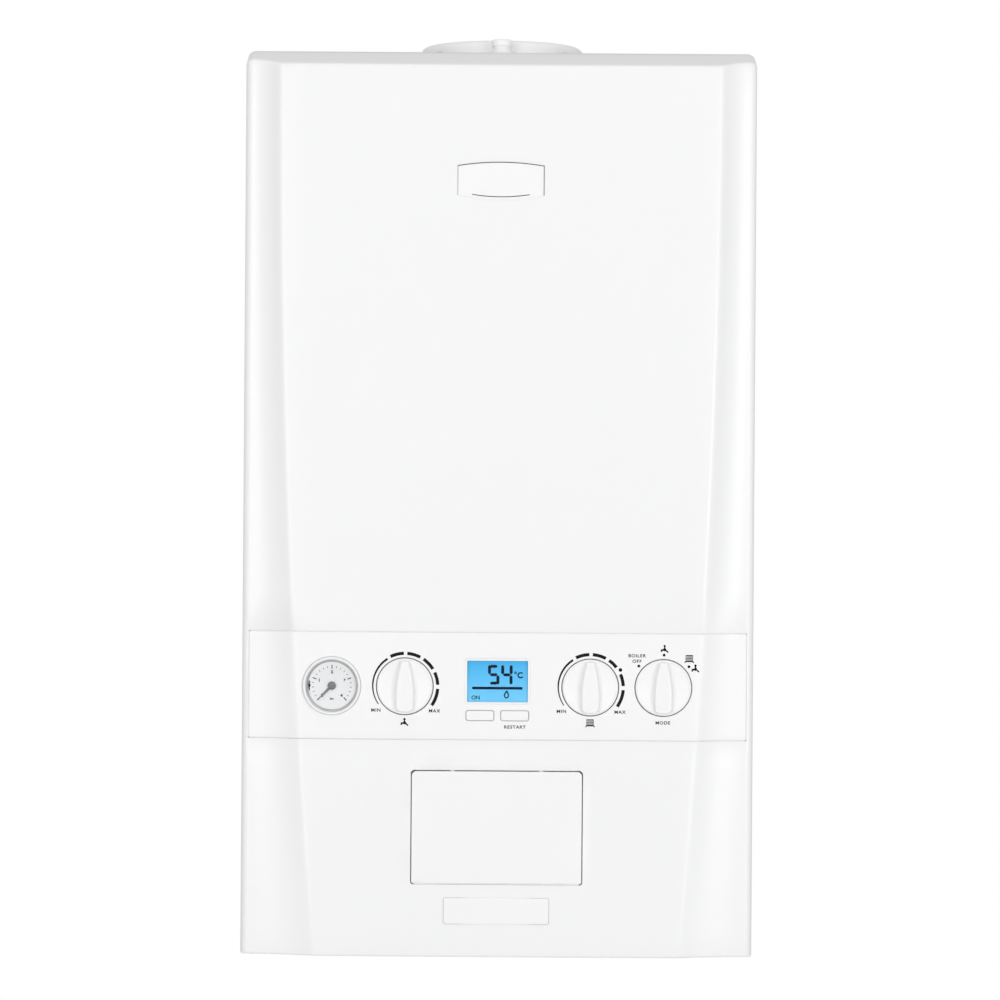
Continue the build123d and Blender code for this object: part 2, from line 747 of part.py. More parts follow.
for turn in range(blade_count):
    spun = Rot(0, 0, 360 / blade_count * turn) * blade
    stood = Rot(90, 0, 0) * spun
    impeller += Pos(fan_x, (impeller_front + impeller_back - 1) / 2, fan_z) * stood
rim = rod_y(fan_x, fan_z, impeller_front, impeller_front + 2, impeller_diameter)
impeller += rim - rod_y(fan_x, fan_z, impeller_front - 1, impeller_front + 3, inlet_diameter + 8)
impeller += rod_y(fan_x, fan_z, impeller_back, volute_back + 20, shaft_diameter)
save("fan_impeller", impeller)
motor_back = volute_back + 34
motor = rod_y(fan_x, fan_z, volute_back, motor_back, 62)
motor = fillet(motor.edges().group_by(Axis.Y)[-1], 8)
motor -= rod_y(fan_x, fan_z, volute_back - 1, volute_back + 22, shaft_diameter + 2 * pin_clearance)
save("fan_motor", motor)
venturi_length = 52.0
venturi_front = fan_front - venturi_length
mouth_length = 10.0
gas_port_reach = 24.0
gas_mixer_x = fan_x + inlet_diameter / 2 + gas_port_reach
gas_mixer_y = (venturi_front + fan_front) / 2
venturi = rod_y(fan_x, fan_z, venturi_front + mouth_length, fan_front, inlet_diameter - 2)
venturi += rod_y(fan_x, fan_z, fan_front - 5, fan_front, inlet_diameter + 16)
seated = (Align.CENTER, Align.CENTER, Align.MIN)
mouth = Cone(inlet_diameter / 2 - 1, inlet_diameter / 2 + 6, mouth_length, align=seated)
venturi += Pos(fan_x, venturi_front + mouth_length, fan_z) * Rot(90, 0, 0) * mouth
venturi += rod_x(gas_mixer_y, fan_z, fan_x, gas_mixer_x, 20)
venturi -= rod_y(fan_x, fan_z, venturi_front - 1, fan_front + 1, inlet_diameter - 10)
save("venturi", venturi)

# ---- gas valve and the gas pipes ----
valve_y = box_back + 54.0
valve_foot = 112.0
valve_top = 196.0
gas_pipe = 15.0
gas_rise_z = sump_foot - 24.0
gas_front_y = -case_depth + 26.0
gas_valve = block(-32, 32, valve_y - 30, valve_y + 26, valve_foot + 8, valve_top - 8)
gas_valve = fillet(gas_valve.edges().filter_by(Axis.Z), 5)
gas_valve += rod_z(gas_x, valve_y, valve_foot, valve_foot + 9, 30)
gas_valve += rod_z(gas_x, valve_y, valve_top - 9, valve_top, 30)
gas_valve += rod_x(valve_y, valve_foot + 46, 30, 58, 34)
gas_valve += rod_y(gas_x, valve_foot + 40, valve_y - 42, valve_y - 29, 28)
save("gas_valve", gas_valve)
gas_bend = 14.0
gas_cross_z = 80.0
gas_bend_foot = gas_cross_z - gas_bend
lower_gas = pipe(
    [
        (gas_x, tail_y, tail_foot),
        (gas_x, tail_y, gas_cross_z),
        (gas_x, valve_y, gas_cross_z),
        (gas_x, valve_y, valve_foot),
    ],
    gas_bend,
    gas_tail,
    tail_wall,
)
upper_gas = pipe(
    [
        (gas_x, valve_y, valve_top),
        (gas_x, valve_y, gas_rise_z),
        (gas_x, gas_front_y, gas_rise_z),
        (gas_x, gas_front_y, fan_z - 40),
        (gas_x, gas_mixer_y, fan_z),
        (gas_mixer_x, gas_mixer_y, fan_z),
    ],
    gas_bend,
    gas_pipe,
    tail_wall,
)
save("gas_pipes", lower_gas + upper_gas)

# ---- expansion vessel: two crowned shells with a rim, behind the heat exchanger ----
vessel_half_width = half_width - 47.5
vessel_foot = hx_foot - 38.0
vessel_top = case_height - 108.0
vessel_back = -8.0
vessel_front = -84.0
vessel_corner = 55.0
vessel_rim = 6.0            # width and thickness of the crimped rim
vessel_crown = 22.0
vessel_mid_z = (vessel_foot + vessel_top) / 2
vessel_mid_y = (vessel_back + vessel_front) / 2
vessel_shell = rounded_slab(
    2 * (vessel_half_width - vessel_rim),
    vessel_top - vessel_foot - 2 * vessel_rim,
    vessel_corner,
    0,
    vessel_mid_z,
    vessel_front,
    vessel_back,
)
shell_edges = vessel_shell.edges().group_by(Axis.Y)
vessel_shell = fillet(shell_edges[0] + shell_edges[-1], vessel_crown)
vessel = vessel_shell + rounded_slab(
    2 * vessel_half_width,
    vessel_top - vessel_foot,
    vessel_corner + vessel_rim,
    0,
    vessel_mid_z,
    vessel_mid_y - vessel_rim / 2,
    vessel_mid_y + vessel_rim / 2,
)
hose_x = -110.0
hose_diameter = 12.0
vessel += rod_z(hose_x, vessel_mid_y, vessel_foot - 8, vessel_foot + 6, 18)
for x in (-90, 90):
    vessel += rod_y(x, vessel_mid_z, vessel_back - 2, -sheet, 14)
save("expansion_vessel", vessel)

# ---- plate heat exchanger: brazed plates, standing on edge against the manifolds ----
plate_half_width = 96.0
plate_foot = 128.0
plate_height = 76.0
plate_back = -8.0
plate_front = -52.0
plate_count = 8
plate_pitch = (plate_back - plate_front) / plate_count
plate_top = plate_foot + plate_height
plate_exchanger = block(
    -plate_half_width + 2, plate_half_width - 2, plate_front, plate_back, plate_foot + 2, plate_top - 2
)
for plate in range(plate_count):
    y = plate_front + plate * plate_pitch
    plate_exchanger += block(
        -plate_half_width, plate_half_width, y, y + plate_pitch * 0.45, plate_foot, plate_top
    )
plate_foot_width = 20.0
for side in (-1, 1):
    x = side * (plate_half_width - plate_foot_width / 2)
    foot_low, foot_high = x - plate_foot_width / 2, x + plate_foot_width / 2
    plate_exchanger += block(foot_low, foot_high, plate_back, -sheet, plate_foot, plate_foot + 12)
save("plate_heat_exchanger", plate_exchanger)

# ---- manifolds: one casting on the flow side, one on the return side ----
manifold_foot = 60.0
manifold_top = 92.0
manifold_back = -58.0
manifold_front = -94.0
column_x = 81.0
column_radius = 13.0
column_top = plate_top - 4
port_low_z = plate_foot + 18
port_high_z = plate_top - 18
boss_foot = tray_height + tray_sheet + 4
rise_x = half_width - 26.5
manifold_inner = 50.0
manifold_outer = rise_x - 21.0


def manifold(side, outer_tail, inner_tail):
    """A casting with its foot over two tails and a column with two ports to the plates."""
    low, high = sorted((side * manifold_inner, side * manifold_outer))
    form = block(low, high, manifold_front, manifold_back, manifold_foot, manifold_top)
    form = fillet(form.edges().filter_by(Axis.Z), 6)
    form += rod_z(outer_tail[0], tail_y, boss_foot, manifold_foot + 1, 30)
    form += rod_z(inner_tail[0], tail_y, boss_foot, manifold_foot + 1, 24)
    form += rod_z(side * column_x, tail_y, manifold_top - 1, column_top, 2 * column_radius)
    for z in (port_low_z, port_high_z):
        form += rod_y(side * column_x, z, tail_y, plate_front, 20)
    return form


stem_x = -124.0
stem_diameter = 8.0
stem_travel = 8.0
stem_foot = manifold_foot + 12
stem_top = 150.0
bonnet_top = 128.0
flow_manifold = manifold(-1, tails["flow"], tails["hot"])
flow_manifold += rod_z(stem_x, tail_y, manifold_top - 1, bonnet_top, 32)
chamber_diameter = 24.0
flow_manifold -= rod_z(stem_x, tail_y, stem_foot - 4, bonnet_top - 8, chamber_diameter)
flow_manifold -= rod_z(stem_x, tail_y, bonnet_top - 9, bonnet_top + 1, stem_diameter + 2 * pin_clearance)
return_manifold = manifold(1, tails["return"], tails["cold"])
diverter_stem = rod_z(stem_x, tail_y, stem_foot, stem_top, stem_diameter)
diverter_stem += rod_z(stem_x, tail_y, stem_foot + 4, stem_foot + 12, chamber_diameter - 3)
save("diverter_stem", diverter_stem)
motor_top = 186.0
diverter_motor = block(stem_x - 22, stem_x + 18, tail_y - 22, tail_y + 22, bonnet_top, motor_top)
diverter_motor = fillet(diverter_motor.edges().filter_by(Axis.Z), 6)
diverter_motor -= rod_z(stem_x, tail_y, bonnet_top - 1, stem_top + stem_travel + 2, stem_diameter + 1)
save("diverter_motor", diverter_motor)

# ---- pump: volute body on the return manifold, impeller, motor ----
pump_x = 128.0
pump_z = 142.0
pump_back = manifold_front
pump_front = box_back + 10.0
pump_mid = (pump_back + pump_front) / 2
pump_radius = 40.0
pump_wall = 5.0
pump_bore = 66.0
pump_impeller_diameter = 58.0
pump_body = rod_y(pump_x, pump_z, pump_mid, pump_back - 6, 2 * pump_radius)
pump_body += rod_y(pump_x, pump_z, pump_mid, pump_mid + 6, 2 * pump_radius + 8)
pump_body += block(pump_x - 20, pump_x + 20, pump_back - 10, pump_back, manifold_foot + 4, pump_z)
pump_body -= rod_y(pump_x, pump_z, pump_mid - 1, pump_back - 6 - pump_wall, pump_bore)
outlet_x = 150.0
outlet_y = (pump_mid + pump_back) / 2 - 2.0
outlet_top = 190.0
pump_chamber = rod_y(pump_x, pump_z, pump_mid - 1, pump_back - 6 - pump_wall, pump_bore)
pump_body += rod_z(outlet_x, outlet_y, pump_z + 34, outlet_top, 26) - pump_chamber
vent_x = 104.0
pump_body += rod_z(vent_x, outlet_y, pump_z + 30, outlet_top - 6, 20) - pump_chamber
save("pump_body", pump_body)
rotor_front = pump_mid + 3
rotor_back = pump_back - 6 - pump_wall - 4
pump_impeller = rod_y(pump_x, pump_z, rotor_back - 3, rotor_back, pump_impeller_diameter)
pump_impeller += rod_y(pump_x, pump_z, rotor_front, rotor_back, 16)
vane = Pos(18, 0, 0) * Rot(0, 0, 28) * Box(16, 1.6, rotor_back - rotor_front - 4)
for turn in range(6):
    spun = Rot(90, 0, 0) * (Rot(0, 0, 60 * turn) * vane)
    pump_impeller += Pos(pump_x, (rotor_front + rotor_back) / 2, pump_z) * spun
pump_impeller += rod_y(pump_x, pump_z, pump_mid - 22, rotor_front + 1, shaft_diameter)
save("pump_impeller", pump_impeller)
pump_motor = rod_y(pump_x, pump_z, pump_front, pump_mid, 2 * pump_radius - 6)
pump_motor = fillet(pump_motor.edges().group_by(Axis.Y)[0], 6)
pump_motor += rod_y(pump_x, pump_z, pump_mid - 5, pump_mid, 2 * pump_radius + 8)
pump_motor += block(pump_x - 28, pump_x + 28, pump_front + 8, pump_mid - 8, pump_z - 46, pump_z - 26)
pump_motor -= rod_y(pump_x, pump_z, pump_mid - 24, pump_mid + 1, shaft_diameter + 2 * pin_clearance)
save("pump_motor", pump_motor)
vent_foot = outlet_top - 6
vent = rod_z(vent_x, outlet_y, vent_foot, vent_foot + 38, 30)
vent = fillet(vent.edges().group_by(Axis.Z)[-1], 6)
vent += rod_z(vent_x, outlet_y, vent_foot + 38, vent_foot + 44, 8)
save("air_vent", vent)

# ---- relief valve with its turning knob ----
relief_z = 76.0
relief_body = 22.0
relief_front = manifold_front - 28
relief = rod_y(relief_x, relief_z, relief_front, manifold_front, relief_body)
relief += rod_z(relief_x, relief_y, boss_foot, relief_z, 20)
relief_stem = 6.0
relief_stem_front = relief_front - 16
relief += rod_y(relief_x, relief_z, relief_stem_front, relief_front + 1, relief_stem)
save("relief_valve", relief)
relief_knob_diameter = 26.0
relief_notches = 8
notch_reach = relief_knob_diameter / 2 + 1.5
relief_knob = rod_y(relief_x, relief_z, relief_front - 20, relief_front - 0.5, relief_knob_diameter)
for turn in range(relief_notches):
    angle = math.radians(360 / relief_notches * turn)
    notch_x = relief_x + notch_reach * math.cos(angle)
    notch_z = relief_z + notch_reach * math.sin(angle)
    relief_knob -= rod_y(notch_x, notch_z, relief_front - 21, relief_front, 6)
relief_bore = relief_stem + 2 * pin_clearance
relief_knob -= rod_y(relief_x, relief_z, relief_stem_front - 0.5, relief_front, relief_bore)
save("relief_knob", relief_knob)

# ---- heating pipes between the heat exchanger, the flow manifold and the pump ----
flow_bend = 16.0
flow_level = (manifold_foot + manifold_top) / 2
flow_pipe = pipe(
    [
        (flow_port_x, port_y, flow_port_z),
        (-rise_x, port_y, flow_port_z),
        (-rise_x, port_y, flow_level),
        (-rise_x, tail_y, flow_level),
        (-manifold_outer, tail_y, flow_level),
    ],
    flow_bend,
    heating_pipe,
    tail_wall,
)
save("flow_pipe", flow_pipe)
return_rise = sump_foot - 28.0
return_pipe = pipe(
    [
        (outlet_x, outlet_y, outlet_top),
        (outlet_x, outlet_y, return_rise),
        (rise_x, return_port_y, return_rise),
        (rise_x, return_port_y, return_port_z),
        (return_port_x, return_port_y, return_port_z),
    ],
    flow_bend,
    heating_pipe,
    tail_wall,
)
save("return_pipe", return_pipe)
hose_bend = 7.0
hose_wall = 2.0
hose_level = column_top + 15.0
vessel_hose = pipe(
    [
        (hose_x, vessel_mid_y, vessel_foot - 8),
        (hose_x, vessel_mid_y, hose_level + 25),
        (hose_x, tail_y, hose_level),
        (-column_x, tail_y, hose_level),
        (-column_x, tail_y, column_top),
    ],
    hose_bend,
    hose_diameter,
    hose_wall,
)
save("vessel_hose", vessel_hose)

# ---- condensate trap under the sump ----
trap_top = drain_foot
trap_foot = 64.0
trap_radius = 19.0
trap_nut_foot = 150.0
trap = rod_z(trap_x, trap_y, trap_foot, trap_top - 26, 2 * trap_radius)
trap = fillet(trap.edges().group_by(Axis.Z)[0] + trap.edges().group_by(Axis.Z)[-1], 5)
trap += rod_z(trap_x, trap_y, trap_top - 27, trap_top, drain_diameter)
trap += rod_z(trap_x, trap_y, trap_nut_foot, trap_nut_foot + 8, 2 * trap_radius + 5)
save("condensate_trap", trap)

tail_tops = {
    "flow": boss_foot,
    "hot": boss_foot,
    "cold": boss_foot,
    "return": boss_foot,
    "relief": boss_foot,
    "condensate": trap_foot,
}
tail_pipes = Part()
for name, top in tail_tops.items():
    x, y, diameter = tails[name]
    tail = rod_z(x, y, tail_foot, top, diameter)
    tail_pipes += tail - rod_z(x, y, tail_foot - 1, top + 1, diameter - 2 * tail_wall)
save("tail_pipes", tail_pipes)
save("flow_manifold", flow_manifold)
save("return_manifold", return_manifold)

# ---- control box: a tray that opens forwards, hung on two trunnions at its foot ----
dial_z = strip_mid + dial_rise
knob_xs = {"hot_water_knob": water_knob_x, "heating_knob": heating_knob_x, "mode_knob": mode_knob_x}
box_top = strip_high + 2.0
board_y = box_back - 28.0
board_sheet = 1.6
board_front = board_y - board_sheet
board_half_width = box_half_width - 18.0
board_foot = 56.0
board_top = 244.0
post_diameter = 9.0
post_x = board_half_width - 10.0
post_heights = [66.0, 152.0]
control_box = block(-box_half_width, box_half_width, box_front, box_back, box_foot, box_top)
control_box = fillet(control_box.edges().filter_by(Axis.Y), 6)
control_box -= block(
    -box_half_width + box_wall,
    box_half_width - box_wall,
    box_front - 1,
    box_back - box_wall,
    box_foot + box_wall,
    box_top - box_wall,
)
for side in (-1, 1):
    trunnion_low, trunnion_high = side * ear_x - 4.5, side * ear_x + 4.5
    control_box += rod_x(box_hinge_y, box_hinge_z, trunnion_low, trunnion_high, 2 * box_hinge_pin)
    wall_x = side * (box_half_width - box_wall / 2)
    control_box += block(
        wall_x - box_wall / 2, wall_x + box_wall / 2, box_hinge_y - 7, box_back, box_foot + 2, box_hinge_z + 8
    )
    for z in post_heights:
        control_box += rod_y(side * post_x, z, board_y, box_back, post_diameter)
save("control_box", control_box)

# ---- circuit board with its main components ----
circuit_board = block(-board_half_width, board_half_width, board_front, board_y, board_foot, board_top)
components = [              # x, z, width, height, depth
    (-120.0, 90.0, 44.0, 36.0, 14.0),
    (-60.0, 84.0, 24.0, 18.0, 16.0),
    (-20.0, 84.0, 24.0, 18.0, 16.0),
    (20.0, 84.0, 24.0, 18.0, 16.0),
    (70.0, 96.0, 40.0, 30.0, 12.0),
    (120.0, 84.0, 30.0, 20.0, 12.0),
    (-90.0, 140.0, 20.0, 20.0, 3.0),
    (30.0, 140.0, 26.0, 26.0, 3.0),
]
for x, z, width, height, depth in components:
    circuit_board += block(
        x - width / 2, x + width / 2, board_front - depth, board_front, z - height / 2, z + height / 2
    )
save("circuit_board", circuit_board)

# ---- fascia: the flush strip with its wells, and the plain plate below it ----
well_floor = -case_depth + 12.0
well_sheet = 1.5
spindle_diameter = 6.0
knob_hole = knob_diameter + 2 * knob_gap
display_z = strip_mid + display_rise
button_z = strip_mid + button_rise
buttons = {"left_button": -button_x, "restart_button": button_x}
strip = block(-strip_width / 2, strip_width / 2, -case_depth * 2, seam_y, strip_low, strip_high)
fascia = (outer_form & strip) - front_form(strip_wall)
rim_half = box_half_width - 2.0
rim = block(-rim_half, rim_half, -case_depth, box_front, strip_low + 1, strip_high - 1)
rim -= block(-rim_half + 2, rim_half - 2, -case_depth - 1, box_front + 1, strip_low + 3, strip_high - 3)
fascia += rim & front_form(strip_wall / 2)
lower_plate = block(-rim_half, rim_half, box_front - 2, box_front, box_foot + 1, strip_low + 3)
blank_half_width = timer_width / 2 - 4
blank_foot = timer_foot + 14
blank_top = timer_foot + timer_height - 4
blank = block(-blank_half_width, blank_half_width, box_front - 5, box_front - 2, blank_foot, blank_top)
fascia += lower_plate + blank
for x in knob_xs.values():
    well = rod_y(x, dial_z, -case_depth + strip_wall - 1, well_floor + well_sheet, knob_hole + 3)
    fascia += well & front_form(strip_wall / 2)
    fascia -= rod_y(x, dial_z, -case_depth - 1, well_floor, knob_hole)
    fascia -= rod_y(x, dial_z, -case_depth - 1, box_front, spindle_diameter + 6)
gauge_hole = gauge_diameter + 2 * gauge_fit
fascia -= rod_y(gauge_x, dial_z, -case_depth - 1, box_front, gauge_hole)
window_width = display_width + 2 * display_fit
window_height = display_height + 2 * display_fit
fascia -= rounded_slab(window_width, window_height, 2.0, 0, display_z, -case_depth - 5, box_front)
hole_width = button_width + 2 * button_gap
hole_height = button_height + 2 * button_gap
for x in buttons.values():
    fascia -= rounded_slab(hole_width, hole_height, 1.6, x, button_z, -case_depth - 5, box_front)
save("fascia", fascia)

# ---- knobs: dished skirts with a raised grip, on the spindles of their switches ----
skirt_front = -case_depth - 0.4
skirt_edge = 1.2
knob_back = well_floor - 1.0
grip_front = -case_depth - 11.0
grip_half = 19.6            # half length of the ridge
grip_root = 6.0             # the ridge starts this far behind the skirt's front
grip_neck = 2.9             # half widths of the ridge at its head,
grip_middle = 6.4           # at its middle
grip_foot = 6.0             # and at its foot
dish_depth = 3.0
spindle_front = -case_depth + 1.0
spindle_gap = 0.05


def knob(x):
    """A dished skirt with its ridge and the bore for the spindle, pointing straight up."""
    radius = knob_diameter / 2
    land = radius - 2 * skirt_edge
    skirt = -skirt_front
    profile = Polyline(
        (0, -knob_back), (radius - skirt_edge, -knob_back), (radius, skirt - skirt_edge),
        (radius - skirt_edge, skirt), (land, skirt), close=False,
    )
    dish = ThreePointArc((land, skirt), (radius * 0.5, skirt - 0.87 * dish_depth), (0, skirt - dish_depth))
    closing = Line((0, skirt - dish_depth), (0, -knob_back))
    face = Plane.XZ * make_face([*profile.edges(), dish, closing])
    body = Rot(90, 0, 0) * revolve(face, Axis.Z)
    head_z, foot_z = grip_half - 1, -grip_half + 3
    left = ThreePointArc((-grip_neck, head_z), (-grip_middle, -4), (-grip_foot, foot_z))
    right = ThreePointArc((grip_foot, foot_z), (grip_middle, -4), (grip_neck, head_z))
    head = ThreePointArc((grip_neck, head_z), (0, grip_half), (-grip_neck, head_z))
    foot = ThreePointArc((-grip_foot, foot_z), (0, -grip_half), (grip_foot, foot_z))
    grip = extrude(Plane.XZ * make_face([left, foot, right, head]), skirt_front + grip_root - grip_front)
    grip = Pos(0, skirt_front + grip_root, 0) * grip
    grip = fillet(grip.edges().group_by(Axis.Y)[0], skirt_edge)
    form = body + grip
    form -= rod_y(0, 0, spindle_front - 0.6, knob_back + 1, spindle_diameter + 2 * spindle_gap)
    return Pos(x, 0, dial_z) * form


for name, x in knob_xs.items():
    save(name, knob(x))
knob_switch_front = board_front - 9.0
knob_switches = Part()
for x in knob_xs.values():
    knob_switches += rounded_slab(17, 17, 2, x, dial_z, knob_switch_front, board_front)
    knob_switches += rod_y(x, dial_z, spindle_front, knob_switch_front, spindle_diameter)
save("knob_switches", knob_switches)

# ---- display: window and module ----
window_sheet = 2.0
window_front = -case_depth + 0.3
window_back = window_front + window_sheet
window = rounded_slab(display_width, display_height, 1.8, 0, display_z, window_front, window_back)
save("display_window", window)
module_front = -case_depth + strip_wall + 0.6
module_back = -case_depth + 16.0
module = block(-29, 29, module_front, module_back, display_z - 16, display_z + 20)
module += block(-24, 24, window_back, module_front, display_z - 15, display_z + 15)
module += block(-20, 20, module_back, board_front, display_z + 8, display_z + 12)
save("display_module", module)

# ---- push buttons on their switches ----
switch_front = board_front - 6.0
button_front = -case_depth - 0.8
button_seat = -case_depth + strip_wall
button_flange = 1.5         # wider than the cap by this much all round
for name, x in buttons.items():
    cap_back = button_seat + 0.5 + button_travel
    cap = rounded_slab(button_width, button_height, 1.4, x, button_z, button_front, cap_back)
    flange_width = button_width + 2 * button_flange
    flange_height = button_height + 2 * button_flange
    flange = rounded_slab(flange_width, flange_height, 1.4, x, button_z, button_seat + 0.3, button_seat + 2.3)
    stem = rod_y(x, button_z, -case_depth + 4, switch_front - button_travel - 0.4, 5)
    save(name, cap + flange + stem)
    nodes["circuit_board"] += block(x - 4, x + 4, switch_front, board_front, button_z - 4, button_z + 4)

# ---- pressure gauge: case, dial, pointer and lens ----
gauge_front = -case_depth - 1.4
gauge_back = -case_depth + 28.0
gauge_inner = gauge_diameter - 5.0
gauge_collar = -case_depth + strip_wall + 3.0
dial_y = -case_depth + 4.6
dial_sheet = 0.8
needle_y = -case_depth + 3.2
needle_sheet = 0.6
lens_front = -case_depth + 0.2
lens_sheet = 1.4
arbor_diameter = 2.4
gauge = rod_y(gauge_x, dial_z, gauge_front, gauge_back, gauge_diameter)
gauge -= rod_y(gauge_x, dial_z, gauge_front - 1, dial_y + dial_sheet, gauge_inner)
bezel_edge = gauge.edges().group_by(Axis.Y)[0]
gauge = chamfer(bezel_edge, 0.7)
gauge += rod_y(gauge_x, dial_z, gauge_collar, gauge_collar + 2.5, gauge_diameter + 5)
gauge -= rod_y(gauge_x, dial_z, gauge_front - 1, dial_y + dial_sheet + 6, arbor_diameter + 2 * pin_clearance)
save("gauge_case", gauge)
dial = rod_y(gauge_x, dial_z, dial_y, dial_y + dial_sheet, gauge_inner - 0.2)
dial -= rod_y(gauge_x, dial_z, dial_y - 1, dial_y + dial_sheet + 1, arbor_diameter + 1)
save("gauge_dial", dial)
needle_length = 13.4
needle_tail = 4.5
needle_half = 0.9
needle_tip_half = 0.35
needle = rod_y(0, 0, needle_y - 0.8, needle_y + needle_sheet, 6.4)
needle += rod_y(0, 0, needle_y, dial_y + dial_sheet + 5.5, arbor_diameter)
pointer = Polyline(
    (-needle_half, -needle_tail), (needle_half, -needle_tail), (needle_half, 0),
    (needle_tip_half, needle_length), (-needle_tip_half, needle_length), (-needle_half, 0), close=True
)
needle += Pos(0, needle_y + needle_sheet, 0) * extrude(Plane.XZ * make_face(pointer), needle_sheet)
needle_zero = 135.0
save("gauge_needle", Pos(gauge_x, 0, dial_z) * (Rot(0, -needle_zero, 0) * needle))
lens_gap = 0.05
save("gauge_lens", rod_y(gauge_x, dial_z, lens_front, lens_front + lens_sheet, gauge_inner - 2 * lens_gap))

for name, shape in nodes.items():
    shape.label = name
    export_step(shape, f"parts/{name}.step")
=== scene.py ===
import json
import math

import bmesh
import bpy
from mathutils import Matrix, Vector
from mathutils.geometry import delaunay_2d_cdt
from mathutils.kdtree import KDTree


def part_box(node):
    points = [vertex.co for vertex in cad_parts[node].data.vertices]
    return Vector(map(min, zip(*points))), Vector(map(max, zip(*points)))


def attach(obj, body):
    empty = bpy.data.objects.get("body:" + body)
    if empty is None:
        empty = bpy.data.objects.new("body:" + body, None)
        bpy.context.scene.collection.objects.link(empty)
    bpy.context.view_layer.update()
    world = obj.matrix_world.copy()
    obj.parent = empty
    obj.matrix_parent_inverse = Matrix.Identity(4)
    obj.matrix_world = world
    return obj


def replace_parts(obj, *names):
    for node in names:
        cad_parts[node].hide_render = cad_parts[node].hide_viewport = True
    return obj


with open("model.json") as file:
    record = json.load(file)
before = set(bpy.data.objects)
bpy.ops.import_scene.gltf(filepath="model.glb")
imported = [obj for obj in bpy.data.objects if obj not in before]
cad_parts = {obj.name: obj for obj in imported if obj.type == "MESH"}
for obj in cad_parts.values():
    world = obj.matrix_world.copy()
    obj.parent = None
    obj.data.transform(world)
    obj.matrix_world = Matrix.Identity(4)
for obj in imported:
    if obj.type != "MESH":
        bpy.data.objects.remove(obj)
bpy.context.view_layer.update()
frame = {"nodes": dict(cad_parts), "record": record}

# ---- The camera ----
# The boiler is seen level, almost straight on, from about three metres, with the view tipped by
# under half a degree, so that the case leans a little to the right.
case_low, case_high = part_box("back_panel")
front_low, front_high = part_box("front_panel")
case_width = case_high.x - case_low.x
case_height = case_high.z
front_y = front_low.y
camera_distance = 3.1
camera_azimuth = math.radians(0.04)
camera_pitch = math.radians(-0.12)
camera_roll = math.radians(0.4)
camera_aim = Vector((0.0009, front_y, 0.3515))
camera_data = bpy.data.cameras.new("camera")
camera_data.sensor_width = 36
camera_data.lens = 145.2
camera = bpy.data.objects.new("camera", camera_data)
bpy.context.scene.collection.objects.link(camera)
backwards = Vector((math.sin(camera_azimuth), -math.cos(camera_azimuth), math.tan(camera_pitch))).normalized()
camera.location = camera_aim + backwards * camera_distance
level = (-backwards).to_track_quat("-Z", "Y").to_matrix().to_4x4()
camera.matrix_world = Matrix.Translation(camera.location) @ level @ Matrix.Rotation(camera_roll, 4, "Z")
bpy.context.scene.camera = camera


# ---- The studio ----
# A white floor under a white sky, and three large soft lamps: two in front, one to each side, and
# one above.
class Shade:
    """A shader socket that takes part in Python arithmetic."""

    def __init__(self, tree, socket):
        self.tree = tree
        self.socket = socket

    def math(self, operation, other):
        node = self.tree.nodes.new("ShaderNodeMath")
        node.operation = operation
        for place, value in zip(node.inputs, (self, other)):
            plug(self.tree, place, value)
        return Shade(self.tree, node.outputs[0])

    def __add__(self, other):
        return self.math("ADD", other)

    def __radd__(self, other):
        return self + other

    def __mul__(self, other):
        return self.math("MULTIPLY", other)

    def __rmul__(self, other):
        return self * other

    def __rsub__(self, other):
        return self * -1 + other

    def above(self, level):
        return self.math("GREATER_THAN", level)


def plug(tree, place, value):
    """Link a shade to a socket, or set the socket's own value."""
    if isinstance(value, Shade):
        tree.links.new(value.socket, place)
    elif isinstance(value, (tuple, list)) and len(value) == 3 and place.type == "RGBA":
        place.default_value = (*value, 1)
    else:
        place.default_value = value


class Paintbox:
    """One material under construction: its tree and its Principled shader."""

    def __init__(self, name):
        self.material = bpy.data.materials.new(name)
        self.material.use_nodes = True
        self.tree = self.material.node_tree
        self.shader = self.tree.nodes["Principled BSDF"]

    def node(self, kind, settings=None, out=0, **values):
        made = self.tree.nodes.new(kind)
        for key, value in (settings or {}).items():
            if key == "stops":
                ramp = made.color_ramp
                for spare in list(ramp.elements)[1:]:
                    ramp.elements.remove(spare)
                ramp.elements[0].position = value[0][0]
                ramp.elements[0].color = (*value[0][1], 1)
                for position, colour in value[1:]:
                    ramp.elements.new(position).color = (*colour, 1)
            else:
                setattr(made, key, value)
        for key, value in values.items():
            plug(self.tree, made.inputs[key.replace("_", " ")], value)
        return Shade(self.tree, made.outputs[out])

    def set(self, **values):
        for key, value in values.items():
            plug(self.tree, self.shader.inputs[key.replace("_", " ")], value)
        return self

    def place(self):
        """Object coordinates in metres."""
        return self.node("ShaderNodeTexCoord", out=3)

    def noise(self, scale, detail=3.0, roughness=0.55):
        return self.node("ShaderNodeTexNoise", Vector=self.place(), Scale=scale, Detail=detail,
                         Roughness=roughness)

    def spread(self, value, low, high):
        """Map a value from 0..1 to low..high."""
        return value * (high - low) + low

    def mix(self, amount, first, second):
        made = self.tree.nodes.new("ShaderNodeMix")
        made.data_type = "RGBA"
        plug(self.tree, made.inputs["Factor"], amount)
        plug(self.tree, made.inputs[6], first if isinstance(first, Shade) else (*first, 1))
        plug(self.tree, made.inputs[7], second if isinstance(second, Shade) else (*second, 1))
        return Shade(self.tree, made.outputs[2])

    def bump(self, height, strength, distance):
        return self.node("ShaderNodeBump", Height=height, Strength=strength, Distance=distance)


